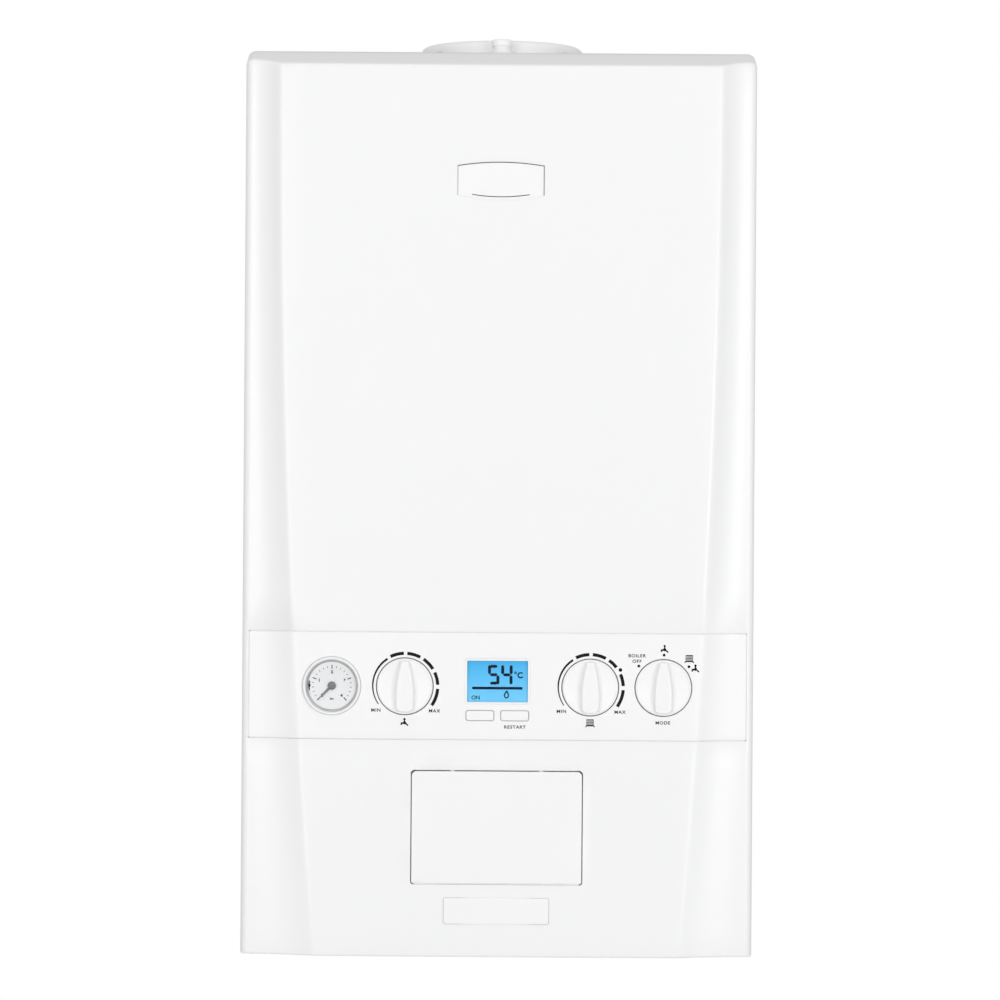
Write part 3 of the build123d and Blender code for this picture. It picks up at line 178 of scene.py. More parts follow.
def studio_material():
    """Plain matt white that turns pure white where the camera or a mirror sees it."""
    paint = Paintbox("studio_white")
    tree = paint.tree
    paint.set(Base_Color=(0.93, 0.93, 0.93), Roughness=0.9)
    paint.shader.inputs["Specular IOR Level"].default_value = 0.0
    glow = tree.nodes.new("ShaderNodeEmission")
    glow.inputs["Color"].default_value = (1, 1, 1, 1)
    glow.inputs["Strength"].default_value = 1.0
    seen = paint.node("ShaderNodeLightPath")
    blend = tree.nodes.new("ShaderNodeMixShader")
    plug(tree, blend.inputs[0], seen)
    tree.links.new(paint.shader.outputs[0], blend.inputs[1])
    tree.links.new(glow.outputs[0], blend.inputs[2])
    tree.links.new(blend.outputs[0], tree.nodes["Material Output"].inputs[0])
    return paint.material


floor_z = -0.35
floor_half = 6.0
floor_mesh = bpy.data.meshes.new("floor")
floor_corners = [(sx * floor_half, sy * floor_half, floor_z)
                 for sx, sy in ((-1, -1), (1, -1), (1, 1), (-1, 1))]
floor_mesh.from_pydata(floor_corners, [], [(0, 1, 2, 3)])
floor = bpy.data.objects.new("floor", floor_mesh)
bpy.context.scene.collection.objects.link(floor)
floor_mesh.materials.append(studio_material())

world = bpy.data.worlds.new("studio")
bpy.context.scene.world = world
world.use_nodes = True
world_tree = world.node_tree
sky = world_tree.nodes["Background"]
sky.inputs["Color"].default_value = (1, 1, 1, 1)
light_path = world_tree.nodes.new("ShaderNodeLightPath")
sky_level = 0.50
glossy_share = 0.35
in_camera = Shade(world_tree, light_path.outputs["Is Camera Ray"])
in_gloss = Shade(world_tree, light_path.outputs["Is Glossy Ray"])
shown = in_camera + in_gloss * glossy_share
plug(world_tree, sky.inputs["Strength"], shown * (1 - sky_level) + sky_level)


def soft_lamp(name, place, aim, width, height, watts):
    data = bpy.data.lights.new(name, "AREA")
    data.shape = "RECTANGLE"
    data.size = width
    data.size_y = height
    data.energy = watts
    lamp = bpy.data.objects.new(name, data)
    bpy.context.scene.collection.objects.link(lamp)
    lamp.location = place
    lamp.rotation_euler = (Vector(aim) - Vector(place)).to_track_quat("-Z", "Y").to_euler()


case_middle = (0, front_y, case_height / 2)
soft_lamp("front_left_lamp", (-1.5, -3.4, 0.50), case_middle, 1.0, 1.8, 27.0)
soft_lamp("front_right_lamp", (1.9, -3.3, 0.35), case_middle, 1.0, 1.8, 33.2)
soft_lamp("top_lamp", (0, -1.2, 2.6), case_middle, 2.0, 1.4, 9.5)
bpy.context.scene.view_settings.view_transform = "Standard"


# ---- Finishes of the working parts inside ----
# Zinc coated sheet, cast and sheet aluminium, copper and brass, stainless plates, and the
# black, white and red mouldings that such a boiler has behind its front panel.
def zinc_sheet():
    paint = Paintbox("zinc_sheet")
    cells = paint.node("ShaderNodeTexVoronoi", {"feature": "F1"}, out=1, Vector=paint.place(), Scale=90.0)
    tone = paint.node("ShaderNodeSeparateColor", Color=cells)
    fine = paint.noise(420.0)
    paint.set(
        Base_Color=paint.mix(tone, (0.58, 0.59, 0.60), (0.70, 0.71, 0.72)),
        Metallic=1.0,
        Roughness=paint.spread(fine, 0.30, 0.48),
        Normal=paint.bump(fine, 0.12, 0.0004),
    )
    return paint.material


def clouded(name, dark, pale, cloud, grain, rough, relief, metallic=0.0, coat=0.0, cloud_gloss=False):
    """A finish that drifts from dark to pale in soft clouds, under a finer grain.

    cloud and grain are a scale and a detail, rough the lowest and highest roughness, relief a
    strength and a height. With cloud_gloss the clouds change the gloss, not the grain.
    """
    paint = Paintbox(name)
    clouds = paint.noise(*cloud)
    fine = paint.noise(*grain)
    paint.set(
        Base_Color=paint.mix(clouds, dark, pale),
        Metallic=metallic,
        Roughness=paint.spread(clouds if cloud_gloss else fine, *rough),
        Normal=paint.bump(fine, *relief),
    )
    paint.shader.inputs["Coat Weight"].default_value = coat
    return paint.material


def stainless_plate():
    paint = Paintbox("stainless_plate")
    stretched = paint.node("ShaderNodeMapping", Vector=paint.place(), Scale=(40.0, 40.0, 900.0))
    brushed = paint.node("ShaderNodeTexNoise", Vector=stretched, Scale=1.0, Detail=2.0)
    paint.set(
        Base_Color=paint.mix(brushed, (0.60, 0.60, 0.59), (0.74, 0.74, 0.73)),
        Metallic=1.0,
        Roughness=paint.spread(brushed, 0.22, 0.40),
        Normal=paint.bump(brushed, 0.08, 0.0002),
    )
    return paint.material


def grained_plastic(name, dark, pale, rough_low=0.42, rough_high=0.58, grain_scale=2600.0, depth=0.16):
    """A moulding with a fine spark-eroded grain and a faint drift of tone."""
    return clouded(name, dark, pale, (14.0, 2.0), (grain_scale, 2.0), (rough_low, rough_high),
                   (depth, 0.0002))


def grey(level):
    return (level, level, level)


def solder_mask():
    """Green board: rows of pale tracks under the mask."""
    paint = Paintbox("solder_mask")
    tracks = paint.node("ShaderNodeTexVoronoi", {"distance": "MANHATTAN"}, Vector=paint.place(), Scale=240.0)
    fine = paint.noise(600.0)
    paint.set(
        Base_Color=paint.mix(tracks.above(0.42), (0.012, 0.085, 0.035), (0.03, 0.16, 0.07)),
        Roughness=paint.spread(fine, 0.28, 0.42),
        Normal=paint.bump(tracks, 0.1, 0.0002),
    )
    return paint.material


def glazed_ceramic():
    paint = Paintbox("alumina")
    speck = paint.noise(500.0)
    paint.set(Base_Color=paint.mix(speck, (0.80, 0.77, 0.70), (0.88, 0.86, 0.80)),
              Roughness=paint.spread(speck, 0.25, 0.4))
    return paint.material


finishes = {
    "galvanised_steel": zinc_sheet(),
    "cast_aluminium": clouded("cast_aluminium", (0.50, 0.50, 0.51), (0.66, 0.66, 0.67), (30.0, 3.0),
                              (900.0, 4.0), (0.42, 0.66), (0.35, 0.0005), metallic=0.9),
    "copper": clouded("drawn_copper", (0.62, 0.30, 0.19), (0.83, 0.46, 0.31), (38.0, 5.0), (700.0, 3.0),
                      (0.18, 0.38), (0.06, 0.0003), metallic=1.0, cloud_gloss=True),
    "brass": clouded("forged_brass", (0.60, 0.43, 0.17), (0.78, 0.60, 0.28), (46.0, 4.0), (850.0, 3.0),
                     (0.26, 0.46), (0.18, 0.0004), metallic=1.0),
    "stainless_steel": stainless_plate(),
    "cast_iron_dark": grained_plastic("painted_iron", (0.018, 0.018, 0.02), (0.032, 0.032, 0.035), 0.4, 0.6,
                                      700.0, 0.4),
    "black_plastic": grained_plastic("black_moulding", (0.014, 0.014, 0.015), (0.022, 0.022, 0.024)),
    "black_rubber": grained_plastic("black_rubber", grey(0.010), grey(0.018), 0.6, 0.8),
    "ceramic_white": glazed_ceramic(),
    "red_paint": clouded("stoved_red", (0.42, 0.022, 0.018), (0.52, 0.032, 0.026), (9.0, 3.0), (380.0, 1.0),
                         (0.24, 0.34), (0.15, 0.0004), coat=0.3),
    "red_plastic": grained_plastic("red_moulding", (0.45, 0.015, 0.012), (0.52, 0.02, 0.016), 0.25, 0.4),
    "board_green": solder_mask(),
    "white_plastic": grained_plastic("white_moulding", grey(0.90), grey(0.915), 0.34, 0.46, 2600.0, 0.1),
    "white_case": grained_plastic("case_powder_paint", grey(0.88), grey(0.90), 0.28, 0.36, 520.0, 0.05),
    "display_blue": grained_plastic("display_blue", (0.06, 0.30, 0.60), (0.08, 0.34, 0.64), 0.2, 0.3),
    "dial_grey": grained_plastic("dial_grey", (0.62, 0.62, 0.63), (0.64, 0.64, 0.65), 0.5, 0.6),
    "clear_window": grained_plastic("clear_window", grey(0.90), grey(0.92), 0.05, 0.08),
}
node_slots = {part["node"]: part["material_slot"] for part in frame["record"]["subparts"]}
for node, node_object in frame["nodes"].items():
    node_object.data.materials.clear()
    node_object.data.materials.append(finishes[node_slots[node]])


# ---- Front panel ----
# One pressing of 1.2 mm steel, powder painted white: a slightly bowed proud field between two
# creases, concave flanks and a sloping head. Its lips are folded back, and the openings for the
# controls and the timer cover are cut in it.
corner_radius = 0.006
flank_drop = 0.013
flank_hollow = 0.3
field_bow = 0.0016
cap_drop = 0.014
cap_round = 0.003
crease_round = 0.003
crease_foot = 0.140
crease_knee = 0.162
crease_top = 0.1705
knee_height = 0.330
sheet = 0.0012
lip = 0.014
foot_round = 0.002
half_width = case_width / 2
panel_top = front_high.z
seam_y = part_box("left_side_panel")[0].y - 0.0008
flank_x = half_width - corner_radius
flank_y = front_y + flank_drop
strip_foot = 0.1674
strip_top = 0.2492
strip_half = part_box("fascia")[1].x + 0.0005
strip_gap = 0.0006
cover_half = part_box("timer_cover")[1].x - 0.0008
cover_foot = 0.0563
cover_top = 0.1428
cover_gap = 0.0007
cover_head_gap = 0.0010
cover_corner, cover_low_corner = 0.0035, 0.0016


def crease_half(z):
    """Half width between the creases at height z."""
    low_slope = (crease_knee - crease_foot) / knee_height
    high_slope = (crease_top - crease_knee) / (case_height - knee_height)
    bend = (high_slope - low_slope) / case_height
    return crease_foot + low_slope * z + bend * z * (z - knee_height)


def circle_y(x, first, second, third):
    """Height over x of the shallow arc through three points, on the side away from its centre."""
    (ax, ay), (bx, by), (cx, cy) = first, second, third
    double_area = 2 * (ax * (by - cy) + bx * (cy - ay) + cx * (ay - by))
    squares = [px * px + py * py for px, py in (first, second, third)]
    middle_x = (squares[0] * (by - cy) + squares[1] * (cy - ay) + squares[2] * (ay - by)) / double_area
    middle_y = (squares[0] * (cx - bx) + squares[1] * (ax - cx) + squares[2] * (bx - ax)) / double_area
    radius = math.hypot(ax - middle_x, ay - middle_y)
    rise = math.sqrt(radius**2 - (x - middle_x) ** 2)
    return middle_y + (rise if by > middle_y else -rise)


def field_y(x, crease):
    edge = (crease, front_y + field_bow)
    return circle_y(x, (-crease, edge[1]), (0, front_y), edge)


def flank_curve_y(x, crease):
    crease_y = front_y + field_bow
    middle = ((crease + flank_x) / 2, flank_y - (flank_y - crease_y) * flank_hollow)
    return circle_y(x, (flank_x, flank_y), middle, (crease, crease_y))


def skin_y(x, z):
    """How far forward the painted skin lies at x and z."""
    x = abs(x)
    crease = crease_half(min(z, panel_top))
    near, far = crease - crease_round, crease + crease_round
    if x > flank_x:
        return flank_y + corner_radius - math.sqrt(max(corner_radius**2 - (x - flank_x) ** 2, 0))
    if x <= near:
        return field_y(x, crease)
    if x >= far:
        return flank_curve_y(x, crease)
    step = 1e-5
    start, finish = field_y(near, crease), flank_curve_y(far, crease)
    start_slope = (start - field_y(near - step, crease)) / step * (far - near)
    finish_slope = (flank_curve_y(far + step, crease) - finish) / step * (far - near)
    t = (x - near) / (far - near)
    return (
        start * (2 * t**3 - 3 * t**2 + 1)
        + start_slope * (t**3 - 2 * t**2 + t)
        + finish * (3 * t**2 - 2 * t**3)
        + finish_slope * (t**3 - t**2)
    )


def cap_z(x, y):
    """Height of the sloping top edge, with its rounded left and right ends."""
    beyond = max(abs(x) - flank_x, 0)
    end_drop = corner_radius - math.sqrt(max(corner_radius**2 - beyond**2, 0))
    return case_height - (seam_y - y) * cap_drop / (seam_y - front_y) - end_drop


def steps(start, finish, count):
    """count places after start, the last one being finish."""
    return [start + (finish - start) * (index + 1) / count for index in range(count)]


def make_piece(name, points, faces, material, body, slot, sharp=30.0, solid=None, edge=None, merge=1e-6):
    """A mesh from points and faces; solid is a wall thickness, edge a small rounding of its rims."""
    mesh = bpy.data.meshes.new(name)
    mesh.from_pydata([tuple(point) for point in points], [], faces)
    work = bmesh.new()
    work.from_mesh(mesh)
    bmesh.ops.remove_doubles(work, verts=work.verts, dist=merge)
    loose = [face for face in work.faces if face.calc_area() < 1e-13]
    bmesh.ops.delete(work, geom=loose, context="FACES_ONLY")
    work.to_mesh(mesh)
    work.free()
    made = bpy.data.objects.new(name, mesh)
    bpy.context.scene.collection.objects.link(made)
    mesh.materials.append(material)
    mesh.polygons.foreach_set("use_smooth", [True] * len(mesh.polygons))
    if solid:
        wall = made.modifiers.new("wall", "SOLIDIFY")
        wall.thickness = solid
        wall.offset = -1
        wall.use_even_offset = True
    if edge:
        rim = made.modifiers.new("rim", "BEVEL")
        rim.width = edge
        rim.segments = 3
        rim.limit_method = "ANGLE"
        rim.angle_limit = math.radians(50)
        rim.harden_normals = True
    if solid or edge:
        settle(made)
    made.data.set_sharp_from_angle(angle=math.radians(sharp))
    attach(made, body)
    return made


def settle(made):
    """Apply a piece's modifiers."""
    bpy.context.view_layer.update()
    plain = bpy.data.meshes.new_from_object(made.evaluated_get(bpy.context.evaluated_depsgraph_get()))
    made.modifiers.clear()
    made.data = plain


peel_white = clouded("panel_powder_paint", (0.892, 0.894, 0.895), (0.906, 0.907, 0.908), (5.0, 2.0),
                     (260.0, 2.0, 0.5), (0.30, 0.38), (0.10, 0.00012))


def panel_columns(z):
    """The x places of the front's columns at height z; every row has as many."""
    crease = crease_half(min(z, panel_top))
    right = steps(0, hatch_half - hatch_corner, 4) + [hatch_half - hatch_low_corner, hatch_half]
    right += steps(hatch_half, crease - crease_round, 7)
    right += steps(crease - crease_round, crease + crease_round, 4)
    right += steps(crease + crease_round, flank_x, 9)
    opening_edge = math.asin((opening_half - flank_x) / corner_radius)
    for angle in [opening_edge] + [math.radians(degrees) for degrees in (30, 45, 60, 75, 90)]:
        right.append(flank_x + corner_radius * math.sin(angle))
    return [-x for x in reversed(right)] + [0.0] + right


def quadratic(first, second, third, t):
    return first * (1 - t) ** 2 + second * 2 * t * (1 - t) + third * t**2


opening_foot, opening_top = strip_foot - strip_gap, strip_top + strip_gap
opening_half = strip_half + strip_gap
hatch_foot, hatch_top = cover_foot - cover_gap, cover_top + cover_head_gap
hatch_half = cover_half + cover_gap
hatch_corner, hatch_low_corner = cover_corner - 0.0002, cover_low_corner + cover_gap
panel_rows = [foot_round] + steps(foot_round, hatch_foot, 3) + [hatch_foot + hatch_low_corner]
panel_rows += steps(hatch_foot + hatch_low_corner, hatch_top - hatch_corner, 4) + [hatch_top]
straight_top = 0.6
panel_rows += [opening_foot] + steps(opening_foot, opening_top, 5) + steps(opening_top, straight_top, 12)
upper_rows = 4
bend_steps = 5
cap_rows = 5
foot_lip_half = half_width - lip
foot_lip_y = front_y + lip + flank_drop


def panel_line(index):
    """One column of the front, from the inner edge of the foot's lip up and back to the seam."""
    def at(z):
        x = panel_columns(z)[index]
        return Vector((x, skin_y(x, z), z))

    low = at(foot_round)
    x = low.x
    turn = math.asin(min(max((abs(x) - flank_x) / corner_radius, 0), 1))
    inward = Vector((-math.copysign(math.sin(turn), x), math.cos(turn), 0))
    corner = Vector((x, low.y, 0))
    lip_edge = Vector((math.copysign(min(abs(x), foot_lip_half), x), foot_lip_y, 0))
    fold = corner + inward * foot_round
    line = [lip_edge, fold]
    line += [quadratic(fold, corner, low, t) for t in steps(0, 1, bend_steps)[:-1]]
    line += [at(z) for z in panel_rows]
    head = at(panel_top)
    x = head.x
    radius = cap_round * math.cos(math.asin(min(max((abs(x) - flank_x) / corner_radius, 0), 1)))
    ridge = Vector((x, head.y, cap_z(x, head.y)))
    below = Vector((x, head.y, ridge.z - radius))
    behind = Vector((x, head.y + radius, cap_z(x, head.y + radius)))
    for z in steps(panel_rows[-1], below.z, upper_rows):
        place = at(min(z, panel_top))
        line.append(Vector((place.x, place.y, z)))
    line += [quadratic(below, ridge, behind, t) for t in steps(0, 1, bend_steps)]
    for y in steps(behind.y, seam_y, cap_rows):
        line.append(Vector((x, y, cap_z(x, y))))
    return line


def side_line(side, y):
    """One upright line of the panel's left or right side at depth y."""
    x = side * half_width
    top = cap_z(x, y)
    line = [Vector((side * foot_lip_half, max(y, foot_lip_y), 0)), Vector((x - side * foot_round, y, 0))]
    corner = Vector((x, y, 0))
    low = Vector((x, y, foot_round))
    line += [quadratic(line[1], corner, low, t) for t in steps(0, 1, bend_steps)[:-1]]
    line += [Vector((x, y, z)) for z in panel_rows]
    line += [Vector((x, y, z)) for z in steps(panel_rows[-1], top, upper_rows)]
    return line


def weave(lines, closed=False):
    """Points and faces of a net between neighbouring lines of equal length."""
    points = [point for line in lines for point in line]
    length = len(lines[0])
    faces = []
    for column in range(len(lines) if closed else len(lines) - 1):
        after = (column + 1) % len(lines)
        for row in range(length - 1):
            here, beside = column * length + row, after * length + row
            faces.append((here, beside, beside + 1, here + 1))
    return points, faces


def inside_hatch(x, z):
    return abs(x) < hatch_half and hatch_foot < z < hatch_top


front_count = len(panel_columns(0))
points, faces = weave([panel_line(index) for index in range(front_count)])
kept = []
for face in faces:
    middle = sum((points[corner] for corner in face), Vector()) / len(face)
    on_front = middle.y < flank_y + corner_radius
    in_strip = abs(middle.x) < opening_half and opening_foot < middle.z < opening_top
    if not (on_front and (in_strip or inside_hatch(middle.x, middle.z))):
        kept.append(face)
arc_steps = 6
for side in (-1, 1):
    for level, turn_from, radius in ((hatch_foot, 270, hatch_low_corner), (hatch_top, 0, hatch_corner)):
        inner_z = level + (radius if level == hatch_foot else -radius)
        places = [(side * hatch_half, level)]
        for step in range(arc_steps + 1):
            angle = math.radians(turn_from + 90 * step / arc_steps)
            places.append((side * (hatch_half - radius + radius * math.cos(angle)),
                           inner_z + radius * math.sin(angle)))
        places.append((side * (hatch_half - hatch_low_corner), level))
        start = len(points)
        points += [Vector((x, skin_y(x, z), z)) for x, z in places]
        for step in range(arc_steps):
            corners = [start, start + step + 1, start + step + 2]
            if level == hatch_top and step == arc_steps - 1:
                corners.append(start + arc_steps + 2)
            if (side > 0) == (level == hatch_foot):
                corners.reverse()
            kept.append(tuple(corners))
side_places = [flank_y + corner_radius] + steps(flank_y + corner_radius, seam_y, cap_rows)
for side in (-1, 1):
    lines = [side_line(side, y) for y in side_places]
    more_points, more_faces = weave(lines if side > 0 else list(reversed(lines)))
    kept += [tuple(corner + len(points) for corner in face) for face in more_faces]
    points += more_points
rim_round = 0.0004
front_panel = make_piece("front_panel_skin", points, kept, peel_white, "front_panel", "white_case",
                         solid=sheet, edge=rim_round)
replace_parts(front_panel, "front_panel")


# ---- Controls strip ----
# The fascia of the control box: a white moulding that lies flush with the skin, with three
# wells for the knobs and openings for the gauge, the display window and the two push buttons.
def middle_of(node):
    """The centre of a node's box."""
    low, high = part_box(node)
    return (low + high) / 2


strip_mid = (strip_foot + strip_top) / 2
dial_z = middle_of("mode_knob").z
gauge_x, water_x, heating_x, mode_x = (
    middle_of(node).x for node in ("gauge_case", "hot_water_knob", "heating_knob", "mode_knob"))
knob_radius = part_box("mode_knob")[1].x - mode_x - 0.0003
well_radius = knob_radius + 0.00065
gauge_radius = 0.0223
display_z = middle_of("display_window").z
display_width = 0.0500
display_height = 0.0350
display_corner = 0.0018
button_z = middle_of("left_button").z
button_x = 0.0134
button_width = 0.0212
button_height = 0.0074
button_gap, button_corner = 0.0004, 0.0014
well_floor = -0.266
strip_edge_round = 0.0005
strip_corner = 0.0012
strip_wall = 0.0035
net_pitch = 0.004           # the nets of the strip, the timer cover and the plates
hole_pitch = 0.003          # along the straight sides of holes
round_parts = 96            # straight parts of a knob's or the gauge's circle


def ring_points(x, z, radius, count):
    return [(x + radius * math.cos(math.tau * k / count), z + radius * math.sin(math.tau * k / count))
            for k in range(count)]


def slab_points(x, z, width, height, corner, per_corner=6, low_corner=None):
    """Outline of a rectangle with rounded corners, anticlockwise seen from the front."""
    outline = []
    for quarter, (sx, sz) in enumerate(((1, 1), (-1, 1), (-1, -1), (1, -1))):
        radius = low_corner if low_corner and sz < 0 else corner
        cx, cz = x + sx * (width / 2 - radius), z + sz * (height / 2 - radius)
        for k in range(per_corner + 1):
            angle = math.radians(90 * quarter + 90 * k / per_corner)
            outline.append((cx + radius * math.cos(angle), cz + radius * math.sin(angle)))
    return outline


def inside_loop(x, z, loop):
    inside = False
    for (ax, az), (bx, bz) in zip(loop, loop[1:] + loop[:1]):
        if (az > z) != (bz > z) and x < ax + (z - az) / (bz - az) * (bx - ax):
            inside = not inside
    return inside


def shrink(loop, amount):
    """The loop moved inwards by amount along its own normals (anticlockwise loops)."""
    moved = []
    for before, here, after in zip([loop[-1]] + loop[:-1], loop, loop[1:] + loop[:1]):
        tangent = Vector((after[0] - before[0], after[1] - before[1])).normalized()
        moved.append((here[0] - tangent.y * amount, here[1] + tangent.x * amount))
    return moved


def cloth_cut(outline, holes, pitch, extra_lines=()):
    """Triangles over an outline with holes: a grid of points joined by constrained Delaunay."""
    points, edges = [], []
    for loop in [outline, *holes]:
        start = len(points)
        points += loop
        edges += [(start + k, start + (k + 1) % len(loop)) for k in range(len(loop))]
    for line in extra_lines:
        start = len(points)
        points += line
        edges += [(start + k, start + k + 1) for k in range(len(line) - 1)]
    low_x, high_x = min(p[0] for p in outline), max(p[0] for p in outline)
    low_z, high_z = min(p[1] for p in outline), max(p[1] for p in outline)
    across, up = math.ceil((high_x - low_x) / pitch), math.ceil((high_z - low_z) / pitch)
    fixed = [Vector(point) for point in points]
    tree = KDTree(len(fixed))
    for index, point in enumerate(fixed):
        tree.insert((*point, 0), index)
    tree.balance()
    for row in range(1, up):
        for column in range(1, across):
            x = low_x + (high_x - low_x) * column / across
            z = low_z + (high_z - low_z) * row / up
            if tree.find((x, z, 0))[2] < pitch * 0.45 or not inside_loop(x, z, outline):
                continue
            if not any(inside_loop(x, z, hole) for hole in holes):
                points.append((x, z))
    result = delaunay_2d_cdt([Vector(point) for point in points], edges, [], 1, 1e-7)
    places, triangles = result[0], result[2]
    kept = []
    for triangle in triangles:
        x = sum(places[corner].x for corner in triangle) / 3
        z = sum(places[corner].y for corner in triangle) / 3
        if inside_loop(x, z, outline) and not any(inside_loop(x, z, hole) for hole in holes):
            kept.append(tuple(triangle))
    return [tuple(place) for place in places], kept


def skinned_sheet(outline, holes, pitch, edge_round, depth, extra_lines=(), ledge=None):
    """A plate that follows the skin: its face, its rolled rims, the walls behind them and its back.

    A ledge, given as its depth and its reach, stands out all round the outer edge.
    """
    face_loops = [shrink(outline, edge_round)] + [shrink(hole, -edge_round) for hole in holes]
    places, triangles = cloth_cut(face_loops[0], face_loops[1:], pitch, extra_lines)
    points = [Vector((x, skin_y(x, z), z)) for x, z in places]
    count = len(points)
    points += [point + Vector((0, depth, 0)) for point in points]
    faces = []
    for triangle in triangles:
        a, b, c = (points[corner] for corner in triangle)
        front = triangle if (b - a).cross(c - a).y < 0 else tuple(reversed(triangle))
        faces += [front, tuple(corner + count for corner in reversed(front))]
    for loop, sign in [(outline, 1)] + [(hole, -1) for hole in holes]:
        rings = []
        for angle in (0, 22.5, 45, 67.5, 90):
            inward = edge_round * (1 - math.sin(math.radians(angle)))
            behind = edge_round * (1 - math.cos(math.radians(angle)))
            ring = shrink(loop, sign * inward)
            rings.append([Vector((x, skin_y(x, z) + behind, z)) for x, z in ring])
        if ledge and sign > 0:
            rings.append([Vector((x, skin_y(x, z) + ledge[0], z)) for x, z in loop])
            loop = shrink(loop, -ledge[1])
            rings.append([Vector((x, skin_y(x, z) + ledge[0], z)) for x, z in loop])
        rings.append([Vector((x, skin_y(x, z) + depth, z)) for x, z in loop])
        back_inset = edge_round + (ledge[1] if ledge and sign > 0 else 0)
        rings.append([Vector((x, skin_y(x, z) + depth, z)) for x, z in shrink(loop, sign * back_inset)])
        start = len(points)
        count = len(loop)
        for ring in rings:
            points += ring
        for level in range(len(rings) - 1):
            for k in range(count):
                a, b = start + level * count + k, start + level * count + (k + 1) % count
                quad = (a, b, b + count, a + count)
                faces.append(tuple(reversed(quad)) if sign > 0 else quad)
    return points, faces


def crease_line(side, low, high, count=9):
    heights = [low + (high - low) * k / (count - 1) for k in range(count)]
    return [(side * crease_half(z), z) for z in heights]


strip_outline = slab_points(0, strip_mid, 2 * strip_half, strip_top - strip_foot, strip_corner, 4)


def dense(loop, pitch):
    """The loop with extra points along its long straight stretches."""
    filled = []
    for (ax, az), (bx, bz) in zip(loop, loop[1:] + loop[:1]):
        count = max(1, math.ceil(math.hypot(bx - ax, bz - az) / pitch))
        filled += [(ax + (bx - ax) * k / count, az + (bz - az) * k / count) for k in range(count)]
    return filled


strip_holes = [ring_points(x, dial_z, well_radius, round_parts) for x in (water_x, heating_x, mode_x)]
strip_holes.append(ring_points(gauge_x, dial_z, gauge_radius + 0.0002, round_parts))
display_outline = slab_points(0, display_z, display_width, display_height, display_corner)
strip_holes.append(dense(display_outline, hole_pitch))
for side in (-1, 1):
    button_hole = slab_points(side * button_x, button_z, button_width + 2 * button_gap,
                              button_height + 2 * button_gap, button_corner + button_gap)
    strip_holes.append(dense(button_hole, hole_pitch))
crease_guides = []
for side in (-1, 1):
    for shift in (-crease_round, 0.0, crease_round):
        line = crease_line(side, strip_foot + strip_corner, strip_top - strip_corner)
        crease_guides.append([(x + shift, z) for x, z in line])
strip_sheet = skinned_sheet(dense(strip_outline, net_pitch), strip_holes, net_pitch, strip_edge_round,
                            strip_wall, crease_guides, ledge=(0.0008, strip_gap - 0.0001))
fascia_white = finishes["white_plastic"]
strip = make_piece("fascia_strip", *strip_sheet, fascia_white, "control_box", "white_plastic", sharp=40)
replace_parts(strip, "fascia")


def turned(profile, x, z, count=96):
    """A form turned about the front-to-back axis at x and z, from (radius, y) pairs."""
    lines = []
    for k in range(count):
        angle = math.tau * k / count
        lines.append([Vector((x + radius * math.cos(angle), y, z + radius * math.sin(angle)))
                      for radius, y in profile])
    return weave(lines, closed=True)


def round_corners(profile, radius, count):
    """The profile with each inner corner replaced by a short curve."""
    rounded = [profile[0]]
    for index in range(1, len(profile) - 1):
        before, here, after = (Vector(profile[index + step]) for step in (-1, 0, 1))
        reach = min(radius, (before - here).length / 2, (after - here).length / 2)
        start = here + (before - here).normalized() * reach
        finish = here + (after - here).normalized() * reach
        rounded += [tuple(quadratic(start, here, finish, k / count)) for k in range(count + 1)]
    return rounded + [profile[-1]]


def face_out(made):
    """Turn a closed piece's faces outwards."""
    work = bmesh.new()
    work.from_mesh(made.data)
    bmesh.ops.recalc_face_normals(work, faces=work.faces)
    work.to_mesh(made.data)
    work.free()
    return made


def gather(parts):
    """Several nets of points and faces as one."""
    points, faces = [], []
    for more_points, more_faces in parts:
        faces += [tuple(corner + len(points) for corner in face) for face in more_faces]
        points += more_points
    return points, faces


# Behind the strip: the wells that the knobs sit in, and the stiffening rim round the back.
well_sheet = 0.0015
spindle_hole = 0.006
box_low, box_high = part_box("control_box")
well_nets = []
for x in (water_x, heating_x, mode_x):
    mouth = skin_y(x, dial_z) + 0.0030
    outer = well_radius + well_sheet
    behind = well_floor + well_sheet
    profile = [(well_radius, mouth), (well_radius, well_floor), (spindle_hole, well_floor),
               (spindle_hole, behind), (outer, behind), (outer, mouth), (well_radius, mouth)]
    well_nets.append(turned(round_corners(profile, 0.0006, 3), x, dial_z, 72))
face_out(make_piece("knob_wells", *gather(well_nets), fascia_white, "control_box", "white_plastic"))


def block_net(low, high):
    corners = [(x, y, z) for x in (low[0], high[0]) for y in (low[1], high[1]) for z in (low[2], high[2])]
    faces = [(0, 1, 3, 2), (4, 6, 7, 5), (0, 4, 5, 1), (2, 3, 7, 6), (0, 2, 6, 4), (1, 5, 7, 3)]
    return [Vector(corner) for corner in corners], faces


